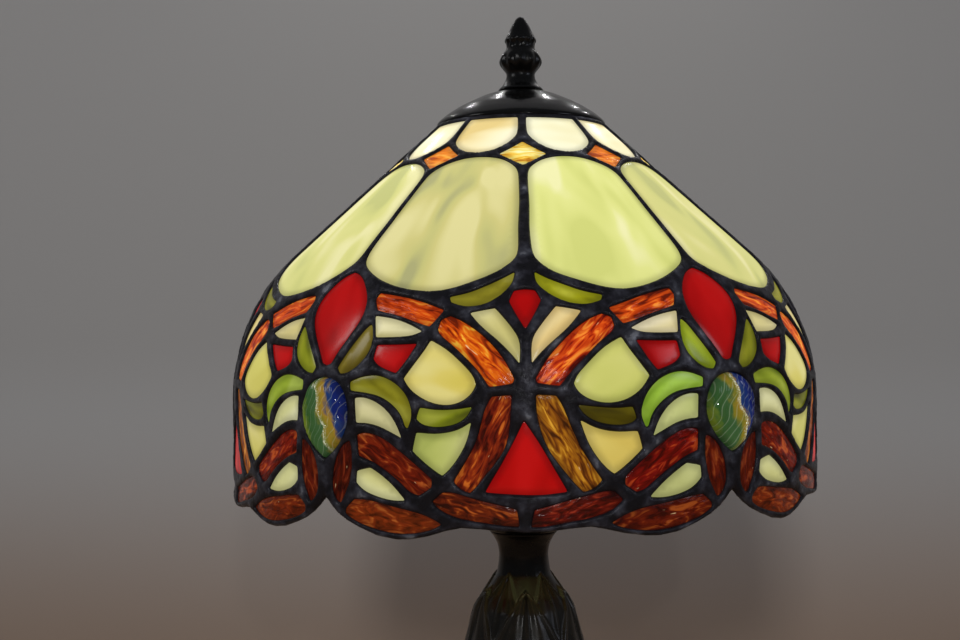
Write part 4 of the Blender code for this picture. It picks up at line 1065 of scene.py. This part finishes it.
def ring_tree():
    """Small balls set evenly round a ring."""
    tree = bpy.data.node_groups.new("ring_of_beads", "GeometryNodeTree")
    face = tree.interface
    face.new_socket("Geometry", in_out="INPUT", socket_type="NodeSocketGeometry")
    face.new_socket("Geometry", in_out="OUTPUT", socket_type="NodeSocketGeometry")
    for name, kind, default in (("Count", "NodeSocketInt", 72), ("Ring Radius", "NodeSocketFloat", 0.06),
                                ("Height", "NodeSocketFloat", 0.0), ("Bead Radius", "NodeSocketFloat", 0.0015)):
        face.new_socket(name, in_out="INPUT", socket_type=kind).default_value = default
    face.new_socket("Material", in_out="INPUT", socket_type="NodeSocketMaterial")
    given = add(tree, "NodeGroupInput", out=None).outputs
    bead = add(tree, "GeometryNodeMeshIcoSphere", {"Radius": given["Bead Radius"], "Subdivisions": 2})
    points = add(tree, "GeometryNodePoints", {"Count": given["Count"]})
    index = add(tree, "GeometryNodeInputIndex")
    turn = add(tree, MATH, {0: math.tau, 1: given["Count"]}, operation="DIVIDE")
    turn = add(tree, MATH, {0: index, 1: turn}, operation="MULTIPLY")
    x = add(tree, MATH, {0: add(tree, MATH, {0: turn}, operation="COSINE"), 1: given["Ring Radius"]},
            operation="MULTIPLY")
    y = add(tree, MATH, {0: add(tree, MATH, {0: turn}, operation="SINE"), 1: given["Ring Radius"]},
            operation="MULTIPLY")
    place = add(tree, COMBINE, {0: x, 1: y, 2: given["Height"]})
    points = add(tree, "GeometryNodeSetPosition", {"Geometry": points, "Position": place})
    beads = add(tree, "GeometryNodeInstanceOnPoints", {"Points": points, "Instance": bead})
    beads = add(tree, "GeometryNodeRealizeInstances", {"Geometry": beads})
    beads = add(tree, "GeometryNodeSetShadeSmooth", {"Geometry": beads})
    beads = add(tree, "GeometryNodeSetMaterial", {"Geometry": beads, "Material": given["Material"]})
    add(tree, "NodeGroupOutput", {"Geometry": beads}, out=None)
    return tree


def wire(name, route, radius):
    """A round wire along a list of points in mm, as a mesh."""
    curve = bpy.data.curves.new(name, "CURVE")
    curve.dimensions = "3D"
    curve.bevel_depth = radius * MM
    curve.bevel_resolution = 6
    curve.use_fill_caps = True
    spline = curve.splines.new("POLY")
    spline.points.add(len(route) - 1)
    for point, place in zip(spline.points, route):
        point.co = (*(c * MM for c in place), 1)
    holder = bpy.data.objects.new(name, curve)
    bpy.context.scene.collection.objects.link(holder)
    evaluated = holder.evaluated_get(bpy.context.evaluated_depsgraph_get())
    mesh = bpy.data.meshes.new_from_object(evaluated)
    bpy.data.objects.remove(holder)
    bm = bmesh.new()
    bm.from_mesh(mesh)
    bmesh.ops.remove_doubles(bm, verts=bm.verts, dist=0.000005)
    bmesh.ops.recalc_face_normals(bm, faces=bm.faces)
    bm.to_mesh(mesh)
    bm.free()
    mesh.shade_smooth()
    mesh.set_sharp_from_angle(angle=math.radians(50))
    return mesh


def harp_route():
    """Half the harp's centre line, bowed out from its feet and in again to the flat top, then mirrored."""
    foot_x, foot_z, straight_z, top_z, half_width = 31.0, 230.3, 262.0, 432.0, 56.0
    half = [(foot_x, 0, foot_z), (foot_x, 0, straight_z)]
    bow = [(foot_x, 0.0), (foot_x, 0.03), (half_width, 0.2), (half_width, 0.46), (half_width * 0.98, 0.8),
           (half_width * 0.42, 0.985), (5.0, 1.0), (0.0, 1.0)]
    for i in range(1, 49):
        t = i / 48
        weights = [math.comb(7, k) * t ** k * (1 - t) ** (7 - k) for k in range(8)]
        x = sum(w * p[0] for w, p in zip(weights, bow))
        rise = sum(w * p[1] for w, p in zip(weights, bow))
        half.append((x, 0, straight_z + rise * (top_z - straight_z)))
    return [(-x, y, z) for x, y, z in half] + [p for p in half[-2::-1]]


# --- operators ---------------------------------------------------------------------------------------

class ShadeLook(bpy.types.PropertyGroup):
    """How the glass is lit, and how far its pieces wander"""
    glow_low: bpy.props.FloatProperty(name="Glow at Rim", description="How brightly glass near the rim is lit",
                                      default=0.82, min=0, max=3)
    glow_high: bpy.props.FloatProperty(name="Glow at Cap", description="How brightly glass under the cap is lit",
                                       default=1.04, min=0, max=3)
    wobble: bpy.props.FloatProperty(name="Wander", description="How far the hand-set pieces wander",
                                    default=0.0008, unit="LENGTH")


class MetalLook(bpy.types.PropertyGroup):
    """How the dark bronze finish is worn and polished"""
    dusting: bpy.props.FloatProperty(name="Dry Brushing", description="Brown dusted on raised bronze",
                                     default=0.9, min=0, max=1, subtype="FACTOR")
    cap_roughness: bpy.props.FloatProperty(name="Cap Roughness", description="Roughness of the enamelled cap",
                                           default=0.15, min=0, max=1, subtype="FACTOR")


class StageLook(bpy.types.PropertyGroup):
    """The backdrop's paint and the bulb's light"""
    wall: bpy.props.FloatVectorProperty(name="Backdrop", description="Colour of the backdrop", subtype="COLOR",
                                        default=linear("A3A2A1")[:3])
    # darker and warmer than the backdrop, so it paints shade low on the sweep
    floor: bpy.props.FloatVectorProperty(name="Floor", description="Colour of the floor", subtype="COLOR",
                                         default=linear("8A7666")[:3])
    bulb_power: bpy.props.FloatProperty(name="Bulb Power", description="Light given by the bulb", default=0.5,
                                        unit="POWER")


class PieceOperator:
    """What all the operators share"""
    bl_options = {"REGISTER", "UNDO"}


class LAMP_OT_cream_glass(PieceOperator, bpy.types.Operator):
    """Make the pale glass of the crown and shoulder, and the small diamonds between them"""
    bl_idname = "lamp.cream_glass"
    bl_label = "Crown and Shoulder Glass"

    def execute(self, context):
        look = context.scene.shade_look
        crown = [f"crown_panel_{i:02d}" for i in range(1, 11)]
        cream = [f"cream_panel_{i:02d}" for i in range(1, 11)]
        make_glass(["crown_glass"], look, "opal_glass", crown)
        make_glass(["shoulder_glass"], look, "opal_glass", cream)
        make_glass(["gold_diamond", "amber_diamond"], look, "amber_glass", ())
        return {"FINISHED"}


class LAMP_OT_mosaic_glass(PieceOperator, bpy.types.Operator):
    """Make the coloured and pale pieces of the deep border"""
    bl_idname = "lamp.mosaic_glass"
    bl_label = "Border Glass"

    def execute(self, context):
        look = context.scene.shade_look
        done = ("crown_glass", "shoulder_glass", "gold_diamond", "amber_diamond")
        mosaic = [f"mosaic_panel_{i:02d}" for i in range(1, 11)]
        pale = [name for name in GLASS if name not in done and GLASS[name][0] == "opal"]
        bright = [name for name in GLASS if name not in done and GLASS[name][0] != "opal"]
        make_glass(pale, look, "opal_glass", ())
        make_glass(bright, look, "amber_glass", mosaic)
        return {"FINISHED"}


class LAMP_OT_jewels(PieceOperator, bpy.types.Operator):
    """Make the five pressed jewels"""
    bl_idname = "lamp.jewels"
    bl_label = "Jewels"

    def execute(self, context):
        look = context.scene.shade_look
        material = pressed_jewel("pressed_crystal", look)
        mesh = through_nodes("glass_jewels", jewel_sheet("glass_jewels"), wrap_tree(),
                             {"Material": material, "Wobble": look.wobble})
        show("glass_jewels", mesh, material, "shade", "jewel_glass", *[f"jewel_{i}" for i in range(1, 6)])
        return {"FINISHED"}


class LAMP_OT_solder(PieceOperator, bpy.types.Operator):
    """Make the solder that joins all the glass"""
    bl_idname = "lamp.solder"
    bl_label = "Solder"

    def execute(self, context):
        look = context.scene.shade_look
        material = black_patina("black_patina_solder")
        mesh = through_nodes("solder_beads", solder_sheet("solder_beads"), wrap_tree(),
                             {"Material": material, "Wobble": look.wobble})
        mesh = thinned(mesh, SOLDER_SHARE)
        mesh.shade_smooth()
        show("solder_beads", mesh, material, "shade", "solder", "solder_lattice")
        return {"FINISHED"}


class LAMP_OT_cap(PieceOperator, bpy.types.Operator):
    """Make the spun cap that holds the top of the shade"""
    bl_idname = "lamp.cap"
    bl_label = "Cap"

    def execute(self, context):
        look = context.scene.metal_look
        material = dark_bronze("bronze_enamel_cap", 0.0, look.cap_roughness)
        show("spun_cap", turned("spun_cap", CAP, steps=128, cut=0.9), material, "shade", "bronze_metal", "vase_cap")
        return {"FINISHED"}


class LAMP_OT_finial(PieceOperator, bpy.types.Operator):
    """Make the cast finial with its gadroons and petals"""
    bl_idname = "lamp.finial"
    bl_label = "Finial"

    def execute(self, context):
        look = context.scene.metal_look
        material = dark_bronze("bronze_enamel_finial", look.dusting * 0.3)
        mesh = turned("cast_finial", FINIAL, steps=176, step=0.6, cut=0.8, closed=False, relief=finial_ribs)
        show("cast_finial", mesh, material, "finial", "bronze_resin", "finial")
        return {"FINISHED"}


class LAMP_OT_harp(PieceOperator, bpy.types.Operator):
    """Make the wire harp with its sleeves, and finish its stud and saddle"""
    bl_idname = "lamp.harp"
    bl_label = "Harp"

    def execute(self, context):
        brass = plain_metal("lacquered_brass", "7A5A22", "B08A3E", 0.3)
        show("harp_wire", wire("harp_wire", harp_route(), 2.0), brass, "base", "brass", "harp_loop")
        for side, label in ((-1, "left"), (1, "right")):
            low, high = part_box(f"harp_ferrule_{label}")
            z0, z1 = low[2] / MM, high[2] / MM
            outline = [(3.2, z0), (4.3, z0), (4.4, z0 + 1), (4.1, z0 + 2), (4.1, z1 - 2), (4.4, z1 - 1),
                       (4.3, z1), (3.2, z1)]
            sleeve = turned(f"ferrule_{label}_sleeve", outline, steps=40, cut=0.2)
            sleeve.transform(Matrix.Translation(((low[0] + high[0]) / 2, 0, 0)))
            show(f"ferrule_{label}_sleeve", sleeve, brass, f"ferrule_{label}", "brass", f"harp_ferrule_{label}")
        finish_nodes({"harp_stud": brass, "harp_saddle": brass})
        return {"FINISHED"}


class LAMP_OT_lampholder(PieceOperator, bpy.types.Operator):
    """Make the lampholder's cap and shell, and finish what is inside them"""
    bl_idname = "lamp.lampholder"
    bl_label = "Lampholder"

    def execute(self, context):
        brass = plain_metal("spun_brass", "75571F", "A98540", 0.32)
        fibre = plain_metal("moulded_phenolic", "0C0B0A", "171513", 0.42, metallic=0.0)
        steel = plain_metal("zinc_plated_steel", "8C8F92", "B4B7BA", 0.34)
        show("holder_cap", turned("holder_cap", HOLDER_CAP, steps=72, cut=0.5), brass, "base", "brass",
             "lampholder_cap")
        show("holder_shell", turned("holder_shell", HOLDER_SHELL, steps=72, cut=0.4), brass, "base", "brass",
             "lampholder_shell")
        finish_nodes({"lampholder_insulator": fibre, "screw_shell": brass, "centre_contact": brass,
                      "switch_knob": fibre, "bulb_cap": steel, "cord_bushing": fibre})
        return {"FINISHED"}


class LAMP_OT_bulb(PieceOperator, bpy.types.Operator):
    """Make the frosted bulb"""
    bl_idname = "lamp.bulb"
    bl_label = "Bulb"

    def execute(self, context):
        inner = [(max(r - 1.0, 0.0), z - min(1.0, max(0.0, (z - 300) / 50))) for r, z in BULB]
        mesh = turned("frosted_bulb", inner + BULB[::-1] + inner[:1], steps=64, cut=0, closed=False)
        show("frosted_bulb", mesh, opal_bulb("frosted_glass", 2.2), "bulb", "bulb_glass", "bulb_glass")
        return {"FINISHED"}


class LAMP_OT_base(PieceOperator, bpy.types.Operator):
    """Make the leaf-worked vase, its cup and the round foot"""
    bl_idname = "lamp.base"
    bl_label = "Vase and Foot"

    def execute(self, context):
        look = context.scene.metal_look
        cast = dark_bronze("bronze_enamel_casting", look.dusting)
        plain = dark_bronze("bronze_enamel_cup", 0.0)
        vase = turned("leafwork_vase", VASE, steps=240, step=1.1, cut=0.8, relief=leafwork, sharp=60)
        show("leafwork_vase", vase, cast, "base", "bronze_resin", "base_vase")
        foot = turned("petal_foot", FOOT, steps=240, step=1.1, cut=0.8, relief=foot_leaves, sharp=60)
        show("petal_foot", foot, cast, "base", "bronze_resin", "base_foot")
        cup = turned("turned_cup", SEAT_CUP, steps=72, cut=0.4)
        show("turned_cup", cup, plain, "base", "bronze_metal", "seat_cup")
        start = bpy.data.meshes.new("foot_beading")
        beads = through_nodes("foot_beading", start, ring_tree(), {
            "Count": 96, "Ring Radius": 69.6 * MM, "Height": 11.6 * MM, "Bead Radius": 1.9 * MM, "Material": plain})
        show("foot_beading", beads, plain, "base", "bronze_resin")
        return {"FINISHED"}


class LAMP_OT_fittings(PieceOperator, bpy.types.Operator):
    """Finish the pipe, nuts, weight and felt pad inside the base"""
    bl_idname = "lamp.fittings"
    bl_label = "Fittings"

    def execute(self, context):
        steel = plain_metal("plated_steel_pipe", "85888B", "B0B3B6", 0.36)
        iron = plain_metal("sand_cast_iron", "26241F", "3A3732", 0.7, scale=900.0, metallic=0.7)
        felt = wool_felt("wool_felt")
        finish_nodes({"threaded_pipe": steel, "seat_nut": steel, "foot_nut": steel, "base_weight": iron,
                      "felt_pad": felt})
        return {"FINISHED"}


def make_backdrop(look):
    """A painted sweep, from floor to wall, that shows from its front only."""
    bend_from, bend_r, wall_top, half = 0.22, 0.30, 3.0, 3.0
    line = [(-3.0, 0.0), (-1.0, 0.0), (0.0, 0.0), (bend_from, 0.0)]
    line += [(bend_from + bend_r * math.sin(a), bend_r * (1 - math.cos(a)))
             for a in np.linspace(0.05, math.pi / 2, 24)]
    line.append((bend_from + bend_r, wall_top))
    verts = [(x, y, z) for x in (-half, half) for y, z in line]
    count = len(line)
    faces = [(i, count + i, count + i + 1, i + 1) for i in range(count - 1)]
    mesh = mesh_from("backdrop", verts, faces, sharp=None)
    material, tree = new_material("painted_backdrop")
    place = add(tree, "ShaderNodeTexCoord", out=3)
    up = add(tree, SEPARATE, {0: place}, out=2)
    # painted shade: the darker, warmer floor colour blends into the wall colour up to 0.25 m
    rise = add(tree, "ShaderNodeMapRange", {"Value": up, "From Min": 0.0, "From Max": 0.25},
               interpolation_type="SMOOTHSTEP")
    colour = add(tree, "ShaderNodeMix", {0: rise, 6: (*look.floor, 1), 7: (*look.wall, 1)}, out=2,
                 data_type="RGBA")
    paint = add(tree, "ShaderNodeBsdfDiffuse", {"Color": colour})
    clear = add(tree, "ShaderNodeBsdfTransparent")
    behind = add(tree, "ShaderNodeNewGeometry", out=6)
    wall = add(tree, "ShaderNodeMixShader", {0: behind, 1: paint, 2: clear})
    add(tree, "ShaderNodeOutputMaterial", {"Surface": wall}, out=None)
    mesh.materials.append(material)
    backdrop = bpy.data.objects.new("backdrop", mesh)
    bpy.context.scene.collection.objects.link(backdrop)


def light_stage(look):
    """The room's even light, the softboxes, a row of ceiling spots and the lit bulb."""
    world = bpy.data.worlds.new("studio")
    world.use_nodes = True
    world.node_tree.nodes["Background"].inputs["Color"].default_value = linear("C8CCD4")
    world.node_tree.nodes["Background"].inputs["Strength"].default_value = 0.14
    bpy.context.scene.world = world

    lights = [("key_softbox", (-0.25, -2.3, 1.1), (0, 0, 0.25), 0.30, 20.0, "FFFFFF"),
              ("front_spot", (0.2, -1.6, 0.75), (0, 0, 0.25), 0.05, 1.6, "FFFFFF"),
              ("side_softbox", (-1.6, -0.7, 1.2), (0, 0, 0.3), 0.5, 3.0, "FFFFFF"),
              ("fill_softbox", (1.7, -0.9, 0.9), (0, 0, 0.3), 0.5, 2.0, "E8EEFF"),
              ("back_softbox", (-0.9, 2.2, 1.3), (0, 0, 0.3), 0.8, 4.0, "FFFFFF"),
              ("backdrop_wash", (0.0, -0.3, 2.0), (0, 0.6, 0.55), 1.0, 6.0, "F2F2FA")]
    lights += [(f"ceiling_spot_{i}", (x, 0.45, 0.8), (0, 0, 0.44), 0.008, 0.05, "FFFFFF")
               for i, x in enumerate((-0.30, -0.17, -0.07, 0.08, 0.19, 0.26))]
    for name, place, aim, size, power, tint in lights:
        lamp = bpy.data.lights.new(name, "AREA")
        lamp.size = size
        lamp.energy = power
        lamp.color = linear(tint)[:3]
        holder = bpy.data.objects.new(name, lamp)
        holder.location = place
        holder.rotation_euler = (Vector(aim) - Vector(place)).to_track_quat("-Z", "Y").to_euler()
        holder.visible_glossy = name not in ("key_softbox", "backdrop_wash")
        bpy.context.scene.collection.objects.link(holder)
    glow = bpy.data.lights.new("bulb_light", "POINT")
    glow.energy = look.bulb_power
    glow.shadow_soft_size = 0.034
    glow.color = linear("FFD9A0")[:3]
    holder = bpy.data.objects.new("bulb_light", glow)
    holder.location = (0, 0, (BULB_LOW[2] + BULB_HIGH[2]) / 2)
    bpy.context.scene.collection.objects.link(holder)


def place_camera():
    """A level camera in front of the shade, turned a little to one side."""
    camera = bpy.data.cameras.new("camera")
    camera.sensor_width = 36.0
    camera.lens = 47.16
    eye = bpy.data.objects.new("camera", camera)
    turn = (Matrix.Rotation(math.radians(1.92), 4, "Z") @ Matrix.Rotation(math.radians(90.23), 4, "X")
            @ Matrix.Rotation(math.radians(-0.35), 4, "Z"))
    eye.matrix_world = Matrix.Translation((0, -0.6705, 0.316)) @ turn
    bpy.context.scene.collection.objects.link(eye)
    bpy.context.scene.camera = eye
    bpy.context.scene.view_settings.view_transform = "Standard"


class LAMP_OT_stage(PieceOperator, bpy.types.Operator):
    """Set the floor and backdrop, the lights and the camera"""
    bl_idname = "lamp.stage"
    bl_label = "Stage"

    def execute(self, context):
        look = context.scene.stage_look
        make_backdrop(look)
        light_stage(look)
        place_camera()
        return {"FINISHED"}


OPERATORS = (LAMP_OT_stage, LAMP_OT_cream_glass, LAMP_OT_mosaic_glass, LAMP_OT_jewels, LAMP_OT_solder, LAMP_OT_cap,
             LAMP_OT_finial, LAMP_OT_harp, LAMP_OT_lampholder, LAMP_OT_bulb, LAMP_OT_base, LAMP_OT_fittings)


class LAMP_PT_build(bpy.types.Panel):
    """Lists the lamp's pieces in the order they are made"""
    bl_idname = "LAMP_PT_build"
    bl_label = "Leaded Glass Lamp"
    bl_space_type = "VIEW_3D"
    bl_region_type = "UI"
    bl_category = "Lamp"

    def draw(self, context):
        for operator in OPERATORS:
            self.layout.operator(operator.bl_idname)
        for group in (context.scene.shade_look, context.scene.metal_look, context.scene.stage_look):
            for name in group.bl_rna.properties.keys():
                if name not in ("rna_type", "name"):
                    self.layout.prop(group, name)


GROUPS = {"shade_look": ShadeLook, "metal_look": MetalLook, "stage_look": StageLook}


def register():
    for cls in (*GROUPS.values(), *OPERATORS, LAMP_PT_build):
        bpy.utils.register_class(cls)
    for name, group in GROUPS.items():
        setattr(bpy.types.Scene, name, bpy.props.PointerProperty(type=group))


def unregister():
    for name in GROUPS:
        delattr(bpy.types.Scene, name)
    for cls in reversed((*GROUPS.values(), *OPERATORS, LAMP_PT_build)):
        bpy.utils.unregister_class(cls)


def main():
    register()
    for operator in OPERATORS:
        family, name = operator.bl_idname.split(".")
        getattr(getattr(bpy.ops, family), name)()


if __name__ == "__main__":
    main()
